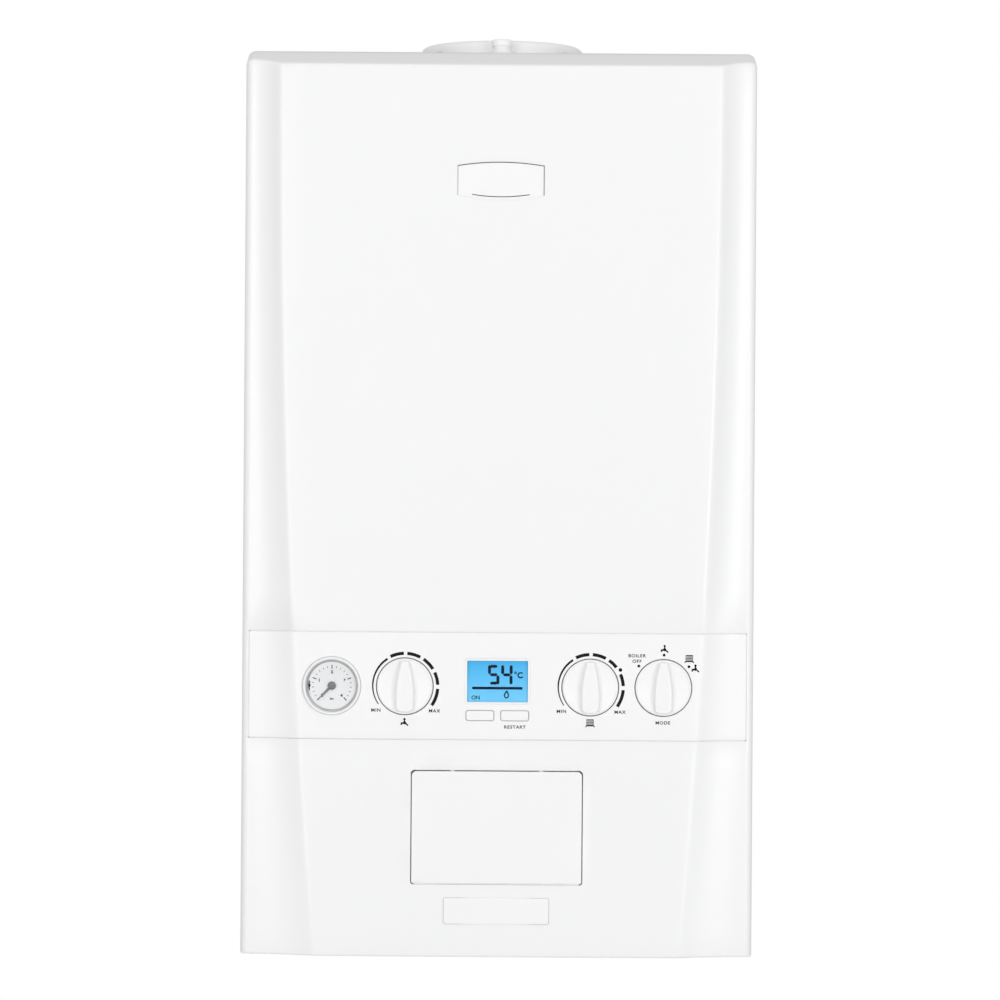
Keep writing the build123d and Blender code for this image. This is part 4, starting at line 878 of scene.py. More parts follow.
rim_half = box_high.x - 0.005
rim_wall = 0.002
rim_back = box_low.y
rim_top, rim_foot = strip_top - 0.003, strip_foot + 0.003
field_half, field_near = 0.150, front_y + 0.0033       # behind the strip's middle
flank_near = front_y + 0.0130                          # behind its ends, which lie further back
blank_half = 0.0622                                    # the plain plate behind the timer cover
rim_nets = [block_net(low, high) for low, high in (
    ((-field_half, field_near, rim_top), (field_half, rim_back, strip_top - 0.001)),
    ((-field_half, field_near, strip_foot + 0.001), (field_half, rim_back, rim_foot)),
    ((-rim_half, flank_near, rim_top), (rim_half, rim_back, strip_top - 0.0012)),
    ((-rim_half, flank_near, strip_foot + 0.0012), (rim_half, rim_back, rim_foot)),
    ((-rim_half, flank_near + 0.0002, rim_foot), (-rim_half + rim_wall, rim_back, rim_top)),
    ((rim_half - rim_wall, flank_near + 0.0002, rim_foot), (rim_half, rim_back, rim_top)),
    ((-rim_half, rim_back - rim_wall, box_low.z + 0.001), (rim_half, rim_back, rim_foot)),
    ((-blank_half, rim_back - 0.005, cover_foot + 0.014), (blank_half, rim_back - 0.002, cover_top - 0.004)),
)]
make_piece("fascia_rear", *gather(rim_nets), fascia_white, "control_box", "white_plastic", edge=rim_round,
           merge=0)


# ---- Knobs ----
# Three white moulded knobs pressed on the switch spindles: a dished disc in a close fitting
# well, and a grip that is narrow at the top, where it points, and wider at its foot.
knob_rim_y = front_y - 0.0004
knob_back_y = well_floor - 0.001
knob_inner = knob_radius - 0.0014
grip_height = 0.0048
dish_depth = 0.0018
grip_head = 0.0026
grip_middle = 0.0064
grip_foot = 0.0060
grip_end = 0.0010
grip_reach = 0.62           # the grip's greatest share of the disc's half width
crown_fall = 0.0004
grip_walls = ((-0.0010, 1.0), (-0.0005, 0.975), (-0.0002, 0.90), (0.0, 0.74), (0.0002, 0.50), (0.0004, 0.26),
              (0.0007, 0.10), (0.0012, 0.03), (0.0021, 0.0))


def smooth_step(t):
    t = min(max(t, 0.0), 1.0)
    return t * t * (3 - 2 * t)


def grip_width(z):
    """Half width of the grip at height z above the knob's centre."""
    t = z / knob_inner
    bend = (grip_head + grip_foot) / 2 - grip_middle
    return grip_middle + (grip_head - grip_foot) / 2 * t + bend * t * t


def knob_line(z):
    """One row of the knob's front at height z: its x places and how proud each is of the dish."""
    half = math.sqrt(max(knob_inner**2 - z**2, 0))
    width = min(grip_width(z), half * grip_reach)
    ending = smooth_step((knob_inner - abs(z)) / grip_end)
    right = [(width * part, 1.0) for part in (0.0, 0.35, 0.65)]
    right += [(width + shift * min(1, half / 0.008), level) for shift, level in grip_walls]
    last = right[-1][0]
    right += [(last + (half - last) * part, 0.0) for part in (0.2, 0.45, 0.7, 0.88, 1.0)]
    row = []
    for x, level in [(-x, level) for x, level in reversed(right[1:])] + right:
        radius = math.hypot(x, z)
        dish = dish_depth * (1 - (radius / knob_inner) ** 2)
        crown = crown_fall * ((x / max(width, 1e-6)) ** 2 if level == 1.0 else level)
        proud = (grip_height + dish) * level * ending - crown * ending
        row.append(Vector((x, knob_rim_y + dish - proud, z)))
    return row


def knob_net(x):
    rows = 64
    heights = [knob_inner * math.sin(math.radians(-90 + 180 * k / rows)) for k in range(rows + 1)]
    lines = [knob_line(z) for z in heights]
    front = weave(lines)
    rim = [(knob_inner, knob_rim_y), (knob_radius - 0.0012, knob_rim_y - 0.0002),
           (knob_radius - 0.0005, knob_rim_y), (knob_radius - 0.00012, knob_rim_y + 0.0005),
           (knob_radius, knob_rim_y + 0.0012), (knob_radius - 0.0002, knob_back_y - 0.0004),
           (knob_radius - 0.0008, knob_back_y), (0.0, knob_back_y)]
    skirt = turned(rim, 0, 0, 2 * rows)
    points, faces = gather([front, skirt])
    return [point + Vector((x, 0, dial_z)) for point in points], faces


for node, x in (("hot_water_knob", water_x), ("heating_knob", heating_x), ("mode_knob", mode_x)):
    knob = make_piece(node + "_form", *knob_net(x), fascia_white, node, "white_plastic", sharp=50, merge=4e-6)
    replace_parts(face_out(knob), node)


# ---- Pressure gauge ----
# A bourdon gauge clipped in the strip: white bezel, grey printed dial behind a lens, a dark
# pointer on its arbor, and a black index that marks the filling pressure.
def dial_paint():
    paint = Paintbox("dial_lacquer")
    fine = paint.noise(900.0, 2.0)
    centred = paint.node("ShaderNodeMapping", Vector=paint.place(), Location=(-gauge_x, -dial_front, -dial_z))
    radius = paint.node("ShaderNodeVectorMath", {"operation": "LENGTH"}, out=1, Vector=centred)
    face = paint.mix(fine, (0.86, 0.87, 0.88), (0.90, 0.91, 0.92))
    # Beyond dial_rim, on the cone up to the bezel, the dial turns a darker grey: painted shade, standing in
    # for the shade inside the bezel's recess.
    paint.set(Base_Color=paint.mix(radius.above(dial_rim + 0.0001), face, recess_shade_grey),
              Roughness=paint.spread(fine, 0.45, 0.6))
    return paint.material


def clear_moulding():
    paint = Paintbox("clear_moulding")
    fine = paint.noise(300.0, 1.0)
    paint.set(Base_Color=(0.98, 0.98, 0.98), Roughness=paint.spread(fine, 0.02, 0.05))
    paint.shader.inputs["Transmission Weight"].default_value = 1.0
    paint.shader.inputs["IOR"].default_value = 1.05
    paint.shader.inputs["Specular IOR Level"].default_value = 0.3
    return paint.material


# The darker grey of the dial's outer ring is painted shade of the bezel's recess.
recess_shade_grey = (0.58, 0.59, 0.60)
gauge_front = front_y - 0.0014
gauge_inner = gauge_radius - 0.0025
gauge_back = -0.250
gauge_parts = 128
clip_front, clip_back = front_y + 0.0055, front_y + 0.0080
clip_radius = gauge_radius + 0.0025
dial_front = front_y + 0.0046
dial_back = dial_front + 0.0008
dial_rim = gauge_inner - 0.0016
dial_edge = gauge_inner - 0.0001
bezel = [(gauge_inner, dial_front), (gauge_inner + 0.0001, gauge_front + 0.0016),
         (gauge_inner + 0.0009, gauge_front + 0.0002), (gauge_inner + 0.0014, gauge_front),
         (gauge_radius - 0.0006, gauge_front + 0.0001), (gauge_radius, gauge_front + 0.0008),
         (gauge_radius, clip_front), (clip_radius, clip_front), (clip_radius, clip_back),
         (gauge_radius, clip_back), (gauge_radius, gauge_back), (0.0, gauge_back), (0.0, dial_back),
         (gauge_inner, dial_back), (gauge_inner, dial_front)]
gauge_net = turned(round_corners(bezel, 0.00025, 3), gauge_x, dial_z, gauge_parts)
gauge_case = make_piece("gauge_case_form", *gauge_net, fascia_white, "control_box", "white_plastic")
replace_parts(face_out(gauge_case), "gauge_case")
# The dial's cone out to the bezel carries the ring of painted shade.
dial_profile = [(0.0, dial_front), (dial_rim, dial_front), (dial_edge, front_y + 0.0018),
                (dial_edge, dial_back), (0.0, dial_back)]
dial_net = turned(dial_profile, gauge_x, dial_z, gauge_parts)
dial = make_piece("gauge_dial_form", *dial_net, dial_paint(), "control_box", "dial_grey")
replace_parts(face_out(dial), "gauge_dial")
frame["nodes"]["gauge_lens"].data.materials[0] = clear_moulding()


def stroke(start, finish, width):
    """A straight bar between two places, for print and for the painted shade lines of the plates."""
    (ax, az), (bx, bz) = start, finish
    length = math.hypot(bx - ax, bz - az)
    nx = -(bz - az) / length * width / 2
    nz = (bx - ax) / length * width / 2
    return [(ax - nx, az - nz), (bx - nx, bz - nz), (bx + nx, bz + nz), (ax + nx, az + nz)]


def arc_band(x, z, inner, outer, first, last, pieces=None):
    """A printed band of a ring between two angles, clockwise from the top, in degrees."""
    count = pieces or max(3, math.ceil(abs(last - first) / 4))
    bands = []
    for k in range(count):
        a, b = (math.radians(first + (last - first) * step / count) for step in (k, k + 1))
        bands.append([(x + radius * math.sin(angle), z + radius * math.cos(angle))
                      for radius, angle in ((inner, a), (inner, b), (outer, b), (outer, a))])
    return bands


def disc(x, z, radius):
    return ring_points(x, z, radius, 20)


def letters(words, x, z, height, spacing=1.0, weight=0.0, stretch=1.0):
    """The outlines of words as flat triangles, centred on x and z, with capitals of that height."""
    curve = bpy.data.curves.new(words, "FONT")
    curve.body = words
    curve.space_character = spacing
    curve.offset = weight
    curve.align_x, curve.align_y = "CENTER", "CENTER"
    written = bpy.data.objects.new(words, curve)
    bpy.context.scene.collection.objects.link(written)
    bpy.context.view_layer.update()
    flat = bpy.data.meshes.new_from_object(written.evaluated_get(bpy.context.evaluated_depsgraph_get()))
    levels = [vertex.co.y for vertex in flat.vertices]
    middle = (max(levels) + min(levels)) / 2
    scale = height / (max(levels) - min(levels))
    places = [(x + vertex.co.x * scale * stretch, z + (vertex.co.y - middle) * scale)
              for vertex in flat.vertices]
    shapes = [[places[corner] for corner in polygon.vertices] for polygon in flat.polygons]
    bpy.data.objects.remove(written)
    return shapes


def printed(name, shapes, surface, material, body, slot, film=0.00006, sunk=0.00010):
    """Ink on a surface, and the painted shade lines of the plates: each shape is a thin film whose back lies
    a little inside it.
    """
    points, faces = [], []
    for shape in shapes:
        area = sum(ax * bz - bx * az for (ax, az), (bx, bz) in zip(shape, shape[1:] + shape[:1]))
        if abs(area) < 1e-12:
            continue
        ordered = shape if area > 0 else list(reversed(shape))
        faces.append(tuple(range(len(points), len(points) + len(ordered))))
        points += [Vector((x, surface(x, z) - film, z)) for x, z in ordered]
    return make_piece(name, points, faces, material, body, slot, solid=film + sunk, merge=2e-6)


# A flat paint of one tone: ink for print, and painted shade for the grey lines at the plates' rims.
def ink(name, tone):
    paint = Paintbox(name)
    fine = paint.noise(1500.0, 1.0)
    paint.set(Base_Color=paint.mix(fine, tone, tuple(channel * 1.15 for channel in tone)),
              Roughness=paint.spread(fine, 0.5, 0.65))
    paint.shader.inputs["Specular IOR Level"].default_value = 0.15
    return paint.material


black_ink = ink("black_ink", (0.006, 0.006, 0.0065))


def node_tree(name, *sizes):
    """A geometry tree with a named number for each size, its group input and its group output."""
    tree = bpy.data.node_groups.new(name, "GeometryNodeTree")
    tree.interface.new_socket("Geometry", in_out="INPUT", socket_type="NodeSocketGeometry")
    for size in sizes:
        tree.interface.new_socket(size, in_out="INPUT", socket_type="NodeSocketFloat")
    tree.interface.new_socket("Finish", in_out="INPUT", socket_type="NodeSocketMaterial")
    tree.interface.new_socket("Geometry", in_out="OUTPUT", socket_type="NodeSocketGeometry")
    return tree, tree.nodes.new("NodeGroupInput"), tree.nodes.new("NodeGroupOutput")


def add_node(tree, kind, settings=None, **values):
    """A geometry node with its settings and its sockets' values or links, by socket name."""
    made = tree.nodes.new(kind)
    for key, value in (settings or {}).items():
        setattr(made, key, value)
    for key, value in values.items():
        place = made.inputs[int(key[1:])] if key[1:].isdigit() else made.inputs[key.replace("_", " ")]
        if isinstance(value, bpy.types.NodeSocket):
            tree.links.new(value, place)
        else:
            place.default_value = value
    return made


def finish_tree(tree, given, ending, instances):
    """Realize the instances and give them the finish."""
    real = add_node(tree, "GeometryNodeRealizeInstances", Geometry=instances)
    painted = add_node(tree, "GeometryNodeSetMaterial", Geometry=real.outputs[0],
                       Material=given.outputs["Finish"])
    tree.links.new(painted.outputs[0], ending.inputs[0])


def grown(name, tree, material, body, slot, start=None, sharp=35.0, **sizes):
    """A plain mesh made by a geometry tree with these sizes, riding on a body."""
    seed = bpy.data.meshes.new(name)
    seed.from_pydata(start or [(0, 0, 0)], [], [])
    made = bpy.data.objects.new(name, seed)
    bpy.context.scene.collection.objects.link(made)
    maker = made.modifiers.new("maker", "NODES")
    maker.node_group = tree
    for item in tree.interface.items_tree:
        if item.in_out == "INPUT" and item.name.replace(" ", "_") in sizes:
            maker[item.identifier] = sizes[item.name.replace(" ", "_")]
        elif item.name == "Finish":
            maker[item.identifier] = material
    settle(made)
    made.data.set_sharp_from_angle(angle=math.radians(sharp))
    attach(made, body)
    return made


def dial_tick_tree():
    """Bars of one size set round an arc that opens at the bottom of the dial."""
    tree, given, ending = node_tree("dial_ticks", "Count", "Radius", "Length", "Width", "Film", "Sweep")
    row = add_node(tree, "GeometryNodeMeshLine", Count=given.outputs["Count"])
    index = add_node(tree, "GeometryNodeInputIndex")
    last = add_node(tree, "ShaderNodeMath", {"operation": "SUBTRACT"}, _0=given.outputs["Count"], _1=1.0)
    share = add_node(tree, "ShaderNodeMath", {"operation": "DIVIDE"}, _0=index.outputs[0], _1=last.outputs[0])
    centred = add_node(tree, "ShaderNodeMath", {"operation": "SUBTRACT"}, _0=share.outputs[0], _1=0.5)
    angle = add_node(tree, "ShaderNodeMath", {"operation": "MULTIPLY"}, _0=centred.outputs[0],
                     _1=given.outputs["Sweep"])
    turn = add_node(tree, "ShaderNodeCombineXYZ", Y=angle.outputs[0])
    reach = add_node(tree, "ShaderNodeCombineXYZ", Z=given.outputs["Radius"])
    place = add_node(tree, "ShaderNodeVectorRotate", {"rotation_type": "EULER_XYZ"}, Vector=reach.outputs[0],
                     Rotation=turn.outputs[0])
    ring = add_node(tree, "GeometryNodeSetPosition", Geometry=row.outputs[0], Position=place.outputs[0])
    size = add_node(tree, "ShaderNodeCombineXYZ", X=given.outputs["Width"], Y=given.outputs["Film"],
                    Z=given.outputs["Length"])
    bar = add_node(tree, "GeometryNodeMeshCube", Size=size.outputs[0])
    bars = add_node(tree, "GeometryNodeInstanceOnPoints", Points=ring.outputs[0], Instance=bar.outputs[0],
                    Rotation=turn.outputs[0])
    finish_tree(tree, given, ending, bars.outputs[0])
    return tree


tick_tree = dial_tick_tree()
tick_film = 0.00016
dial_sweep = 270
top_number = 4
for name, tick_count, near, far, width in (("major_ticks", top_number + 1, 0.0129, 0.0160, 0.00072),
                                           ("minor_ticks", 5 * top_number + 1, 0.0139, 0.0153, 0.00040)):
    ticks = grown(name, tick_tree, black_ink, "control_box", "black_plastic", Count=tick_count,
                  Radius=(near + far) / 2, Length=far - near, Width=width, Film=tick_film,
                  Sweep=math.radians(dial_sweep))
    for vertex in ticks.data.vertices:
        vertex.co += Vector((gauge_x, dial_front + 0.00002, dial_z))
number_radius = 0.0106
dial_marks = []
for number in range(top_number + 1):
    angle = math.radians(dial_sweep * (number / top_number - 0.5))
    number_x, number_z = gauge_x + number_radius * math.sin(angle), dial_z + number_radius * math.cos(angle)
    dial_marks += letters(str(number), number_x, number_z, 0.0026, weight=0.05)
dial_marks += letters("bar", gauge_x, dial_z - 0.0100, 0.0017, weight=0.04)


def dial_face(x, z):
    return dial_front


printed("dial_printing", dial_marks, dial_face, black_ink, "control_box", "black_plastic")
index_x = gauge_x - dial_rim + 0.0002
index_steps = 12
index_marks = [[(index_x + 0.0015 * math.sin(math.pi * k / index_steps),
                 dial_z + 0.0016 * math.cos(math.pi * k / index_steps)) for k in range(index_steps + 1)]]
for first, last in ((-102, -95), (-85, -78)):
    index_marks += arc_band(gauge_x, dial_z, dial_rim - 0.0010, dial_rim - 0.0003, first, last, 2)
printed("gauge_index", index_marks, dial_face, black_ink, "control_box", "black_plastic", film=0.0004)


needle_grey = grained_plastic("pointer_grey", (0.19, 0.195, 0.20), (0.21, 0.215, 0.22), 0.35, 0.5)
needle_y = front_y + 0.0032
hub_radius = 0.0032
arbor_radius = 0.0012
hub_front = needle_y - 0.0008
hub_back = needle_y + 0.0006
arbor_end = dial_back + 0.0055
hub = [(0.0, hub_front), (hub_radius - 0.0006, hub_front), (hub_radius, hub_front + 0.0005),
       (hub_radius, hub_back), (arbor_radius, hub_back), (arbor_radius, arbor_end), (0.0, arbor_end)]
rest_angle = math.radians(-dial_sweep / 2)
along = Vector((math.sin(rest_angle), 0, math.cos(rest_angle)))
across = Vector((math.cos(rest_angle), 0, -math.sin(rest_angle)))
blade = []
for distance, half in ((-0.0012, 0.0010), (0.0, 0.0011), (0.0100, 0.0007), (0.0134, 0.0003)):
    middle = Vector((gauge_x, 0, dial_z)) + along * distance
    section = [middle + across * half * side + Vector((0, y, 0))
               for side, y in ((-1, hub_back), (-0.8, needle_y), (0.8, needle_y), (1, hub_back))]
    blade.append(section + section[:1])
blade_points, blade_faces = weave(blade)
length = len(blade[0])
blade_faces += [tuple(range(length - 1)), tuple(range((len(blade) - 1) * length, len(blade) * length - 1))]
needle_net = gather([turned(hub, gauge_x, dial_z, 48), (blade_points, blade_faces)])
needle = make_piece("gauge_pointer", *needle_net, needle_grey, "gauge_needle", "black_plastic")
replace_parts(face_out(needle), "gauge_needle")


# ---- Printing on the strip ----
# Pad printed in black: a swelling scale round each temperature knob, small signs for water and
# heating, and plain words beside the knobs and under a button.
scale_inner, scale_outer = 0.0241, 0.0266
word_form = {"height": 0.0025, "spacing": 1.16, "weight": 0.022, "stretch": 1.10}
sign_drop = 0.0277          # from a knob's centre to the sign under it
dot_radius = 0.0011


def swelling_band(x, z, first, last, inner, first_width, last_width, count=30):
    """A printed arc whose width grows from its first angle to its last."""
    bands = []
    for k in range(count):
        here, after = k / count, (k + 1) / count
        corners = []
        for t, outer in ((here, False), (after, False), (after, True), (here, True)):
            angle = math.radians(first + (last - first) * t)
            radius = inner + (first_width + (last_width - first_width) * t if outer else 0)
            corners.append((x + radius * math.sin(angle), z + radius * math.cos(angle)))
        bands.append(corners)
    return bands


def tap_sign(x, z):
    """A tap from the side: ball, stem, body, spout on the left and tail on the right."""
    return [disc(x, z + 0.0025, 0.0009), stroke((x, z + 0.0025), (x, z), 0.0011), disc(x, z - 0.0003, 0.0012),
            stroke((x - 0.0026, z - 0.0006), (x + 0.0008, z - 0.0006), 0.0013),
            stroke((x - 0.0025, z - 0.0003), (x - 0.0025, z - 0.0021), 0.0010),
            stroke((x + 0.0004, z - 0.0004), (x + 0.0027, z - 0.0024), 0.0011)]


def radiator_sign(x, z):
    """A panel radiator from the front: fins between two rails, on two splayed feet."""
    fins = [stroke((x + 0.00085 * fin, z - 0.0016), (x + 0.00085 * fin, z + 0.0030), 0.00045)
            for fin in range(-3, 4)]
    rails = [stroke((x - 0.0028, z + level), (x + 0.0028, z + level), width) for level, width in
             ((0.0030, 0.0006), (0.0007, 0.0003), (-0.0016, 0.0010))]
    feet = [stroke((x + side * 0.0026, z - 0.0016), (x + side * 0.0035, z - 0.0027), 0.0008)
            for side in (-1, 1)]
    return fins + rails + feet


strip_marks = []
for x, third_end, fourth_start in ((water_x, 58.1, 64.8), (heating_x, 52, 66)):
    dashes = ((-26, -2), (4, 27.7), (34.4, third_end), (fourth_start, 87), (94, 124.8))
    strip_marks += swelling_band(x, dial_z, -124.4, -32.5, scale_inner, 0.0007, 0.0017)
    for first, last in dashes:
        strip_marks += arc_band(x, dial_z, scale_inner, scale_outer, first, last)
    strip_marks += letters("MIN", x - 0.0221, dial_z - 0.0184, **word_form)
    strip_marks += letters("MAX", x + 0.0229, dial_z - 0.0187, **word_form)
strip_marks.append(disc(heating_x + 0.0231, dial_z + 0.0137, dot_radius + 0.0003))
strip_marks += tap_sign(water_x, dial_z - sign_drop)
strip_marks += radiator_sign(heating_x, dial_z - sign_drop)
for words, x, rise in (("BOILER", mode_x - 0.0204, 0.0247), ("OFF", mode_x - 0.0204, 0.0205),
                       ("MODE", mode_x - 0.0003, -0.0268), ("RESTART", button_x + 0.0001, -0.0307)):
    strip_marks += letters(words, x, dial_z + rise, **word_form)
for shift, rise in ((-0.0190, 0.0168), (0.0004, 0.0253), (0.0196, 0.0165)):
    strip_marks.append(disc(mode_x + shift, dial_z + rise, dot_radius))
strip_marks += tap_sign(mode_x + 0.0008, dial_z + 0.0298)
strip_marks += radiator_sign(mode_x + 0.0198, dial_z + 0.0222)
strip_marks += tap_sign(mode_x + 0.0246, dial_z + 0.0149)
printed("strip_printing", strip_marks, skin_y, black_ink, "control_box", "black_plastic")


# ---- Display ----
# A clear moulded window with a white border behind its edge; behind it the blue backlit liquid
# crystal glass, on which the digits and small signs stand dark.
window_front, window_back = front_y + 0.0003, front_y + 0.0020
glass_front, glass_back = front_y + 0.00205, front_y + 0.0026
screen_width = 0.0468
screen_height = 0.0318
lit_corner = 0.0004


def plate_net(loop, front, back, edge, count=4):
    """A flat plate with a rounded front edge, from its outline."""
    rings = []
    for step in range(count + 1):
        angle = math.radians(90 * step / count)
        inward, behind = edge * (1 - math.sin(angle)), edge * (1 - math.cos(angle))
        rings.append([Vector((x, front + behind, z)) for x, z in shrink(loop, inward)])
    rings.append([Vector((x, back, z)) for x, z in loop])
    points, faces = weave([list(ring) + [ring[0]] for ring in rings])
    length = len(loop) + 1
    last = (len(rings) - 1) * length
    faces += [tuple(range(len(loop))), tuple(reversed(range(last, last + len(loop))))]
    return points, faces


def border_net(outer, inner, front, back, edge):
    """A flat border between two outlines with as many points."""
    lines = []
    for (ox, oz), (sx, sz), (ix, iz) in zip(outer, shrink(outer, edge), inner):
        lines.append([Vector(place) for place in (
            (ox, back, oz), (ox, front + edge, oz), ((ox + sx) / 2, front + edge * 0.3, (oz + sz) / 2),
            (sx, front, sz), (ix, front, iz), (ix, back, iz), (ox, back, oz))])
    return weave(lines, closed=True)


def lit_crystal():
    """Blue backlit glass, brighter towards its foot."""
    paint = Paintbox("lit_crystal")
    height = paint.node("ShaderNodeSeparateXYZ", out=2, Vector=paint.place())
    fall = (height + (screen_height / 2 - display_z)) * (1 / screen_height)
    blue = paint.mix(fall, (0.135, 0.50, 0.78), (0.040, 0.355, 0.68))
    paint.set(Base_Color=blue, Roughness=0.25, Emission_Color=blue)
    paint.shader.inputs["Emission Strength"].default_value = 0.35
    return paint.material


def crystal_bar(start, finish, width):
    """One segment of a digit: a bar with pointed ends."""
    (ax, az), (bx, bz) = start, finish
    length = math.hypot(bx - ax, bz - az)
    ux, uz = (bx - ax) / length * width / 2, (bz - az) / length * width / 2
    return [(ax, az), (ax + ux - uz, az + uz + ux), (bx - ux - uz, bz - uz + ux), (bx, bz),
            (bx - ux + uz, bz - uz - ux), (ax + ux + uz, az + uz - ux)]


def digit(x, z, width, height, lit, bar=0.0023, gap=0.0002):
    """A seven segment digit with its lower left corner at x and z; lit names its segments."""
    low, middle, high = z + bar / 2, z + height / 2, z + height - bar / 2
    left, right = x + bar / 2, x + width - bar / 2
    places = {
        "top": ((left + gap, high), (right - gap, high)),
        "middle": ((left + gap, middle), (right - gap, middle)),
        "foot": ((left + gap, low), (right - gap, low)),
        "upper_left": ((left, middle + gap), (left, z + height)),
        "upper_right": ((right, middle + gap), (right, z + height)),
        "lower_left": ((left, z), (left, middle - gap)),
        "lower_right": ((right, z), (right, middle - gap)),
    }
    return [crystal_bar(*places[name], bar) for name in lit]


border_inner = slab_points(0, display_z, screen_width, screen_height, lit_corner)
border = border_net(display_outline, border_inner, window_front, window_back, 0.0003)
make_piece("display_border", *border, fascia_white, "control_box", "white_plastic", sharp=40)
pane_net = plate_net(border_inner, window_front + 0.0001, window_back, 0.0001)
pane = make_piece("window_pane", *pane_net, clear_moulding(), "control_box", "clear_window")
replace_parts(face_out(pane), "display_window")
glass_outline = slab_points(0, display_z, screen_width + 0.0004, screen_height + 0.0004, lit_corner)
glass_net = plate_net(glass_outline, glass_front, glass_back, 0.00005)
face_out(make_piece("crystal_glass", *glass_net, lit_crystal(), "control_box", "display_blue"))
digit_foot = display_z - 0.0025
digit_width = 0.0088
digit_height = 0.0152
rule_z = display_z - 0.0052
crystal_marks = []
for x, lit in ((-0.0074, ("top", "upper_left", "middle", "lower_right", "foot")),
               (0.0027, ("upper_left", "upper_right", "middle", "lower_right"))):
    crystal_marks += digit(x, digit_foot, digit_width, digit_height, lit)
crystal_marks += arc_band(0.0138, display_z + 0.0067, 0.0004, 0.0010, 0, 360, 12)
crystal_marks += letters("C", 0.0173, display_z + 0.0049, 0.0047, weight=0.035)
crystal_marks.append(stroke((-0.0195, rule_z), (0.0191, rule_z), 0.0020))
flame = ((0.0, -0.0026), (0.0012, -0.0020), (0.0016, -0.0008), (0.0012, 0.0007), (0.0002, 0.0030),
         (-0.0008, 0.0014), (-0.0015, -0.0002), (-0.0015, -0.0014), (-0.0010, -0.0022))
flame = [(0.0069 + x, display_z - 0.0101 + z) for x, z in flame]
crystal_marks += [stroke(here, after, 0.0010) for here, after in zip(flame, flame[1:] + flame[:1])]
crystal_marks += letters("ON", -0.0167, display_z - 0.0125, 0.0031, weight=0.025)
crystal_navy = ink("crystal_navy", (0.004, 0.010, 0.035))
printed("crystal_segments", crystal_marks, lambda x, z: glass_front, crystal_navy, "control_box",
        "black_plastic")


# ---- Push buttons ----
# Two short white caps with softly rolled edges, each with a flange behind the strip and a stem
# that reaches the switch on the circuit board.
button_front, button_seat = front_y - 0.0008, front_y + 0.0025
flange_reach = 0.0015
stem_start = front_y + 0.004
stem_radius = 0.0025
for node, x in (("left_button", -button_x), ("restart_button", button_x)):
    cap = slab_points(x, button_z, button_width, button_height, button_corner)
    flange = slab_points(x, button_z, button_width + 2 * flange_reach, button_height + 2 * flange_reach,
                         button_corner)
    stem_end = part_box(node)[1].y
    stem = [(0.0, stem_start), (stem_radius, stem_start), (stem_radius, stem_end), (0.0, stem_end)]
    nets = [plate_net(dense(cap, hole_pitch), button_front, button_seat + 0.0017, 0.0007),
            plate_net(flange, button_seat + 0.0003, button_seat + 0.0023, 0.0001),
            turned(stem, x, button_z, 24)]
    button = make_piece(node + "_form", *gather(nets), fascia_white, node, "white_plastic", sharp=45)
    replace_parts(face_out(button), node)


# ---- Timer cover ----
# A white moulded flap, 131 mm wide and 86 mm high, flush in its opening: two small tabs at its head
# hold it shut, and two knuckles at its foot turn on pins.
cover_mid = (cover_foot + cover_top) / 2
cover_wall = 0.0024
cover_round = 0.0005
cover_foot_round = 0.0012
hinge_x = 0.052
hinge_y = front_y + 0.0052
hinge_z = 0.0609
knuckle_half = 0.004
knuckle_radius = 0.0025
pin_radius = 0.0013
pin_reach = 0.005
web_half = 0.0012
tab_x = 0.034
tab_half = 0.0015
tab_front = front_y + 0.0008


def rod_net(start, finish, radius, count=24):
    """A round bar between two places, with a small chamfer at each end."""
    start, finish = Vector(start), Vector(finish)
    along = (finish - start).normalized()
    across = along.orthogonal().normalized()
    other = along.cross(across)
    chamfer = radius * 0.12
    profile = [(0, start), (radius - chamfer, start), (radius, start + along * chamfer),
               (radius, finish - along * chamfer), (radius - chamfer, finish), (0, finish)]
    lines = []
    for k in range(count):
        angle = math.tau * k / count
        outward = across * math.cos(angle) + other * math.sin(angle)
        lines.append([place + outward * reach for reach, place in profile])
    return weave(lines, closed=True)


cover_loop = slab_points(0, cover_mid, 2 * cover_half, cover_top - cover_foot, cover_corner,
                         low_corner=cover_low_corner)
guide_half = cover_half - 0.003
foot_guides = []
for rise in (0.0012, 0.0009, 0.0007):
    foot_guides.append([(x, cover_foot + rise) for x in steps(-guide_half, guide_half, 30)])
flap_points, flap_faces = skinned_sheet(dense(cover_loop, net_pitch), [], net_pitch, cover_round, cover_wall,
                                        foot_guides)
for point in flap_points:
    below = cover_foot + cover_foot_round - point.z
    if below > 0 and point.y < front_y + 0.0018:
        point.y += cover_foot_round - math.sqrt(max(cover_foot_round**2 - below**2, 0))
bead_half = cover_half - 0.0018
cover_back = front_y + cover_wall
cover_nets = [(flap_points, flap_faces)]
cover_nets.append(block_net((-bead_half, front_y + 0.0014, cover_foot - 0.0006),
                            (bead_half, front_y + 0.0023, cover_foot + 0.0008)))
for side in (-1, 1):
    near, far = side * hinge_x - knuckle_half, side * hinge_x + knuckle_half
    for reach, radius in ((0.0, knuckle_radius), (pin_reach, pin_radius)):
        cover_nets.append(rod_net((near - reach, hinge_y, hinge_z), (far + reach, hinge_y, hinge_z), radius))
    cover_nets.append(block_net((near, cover_back - 0.0003, hinge_z - web_half),
                                (far, hinge_y, hinge_z + web_half)))
    tab = side * tab_x
    cover_nets.append(block_net((tab - tab_half, tab_front, cover_top - 0.0015),
                                (tab + tab_half, cover_back, cover_top + 0.0006)))
cover_flap = make_piece("timer_flap", *gather(cover_nets), fascia_white, "timer_cover", "white_plastic",
                        sharp=40)
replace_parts(face_out(cover_flap), "timer_cover")


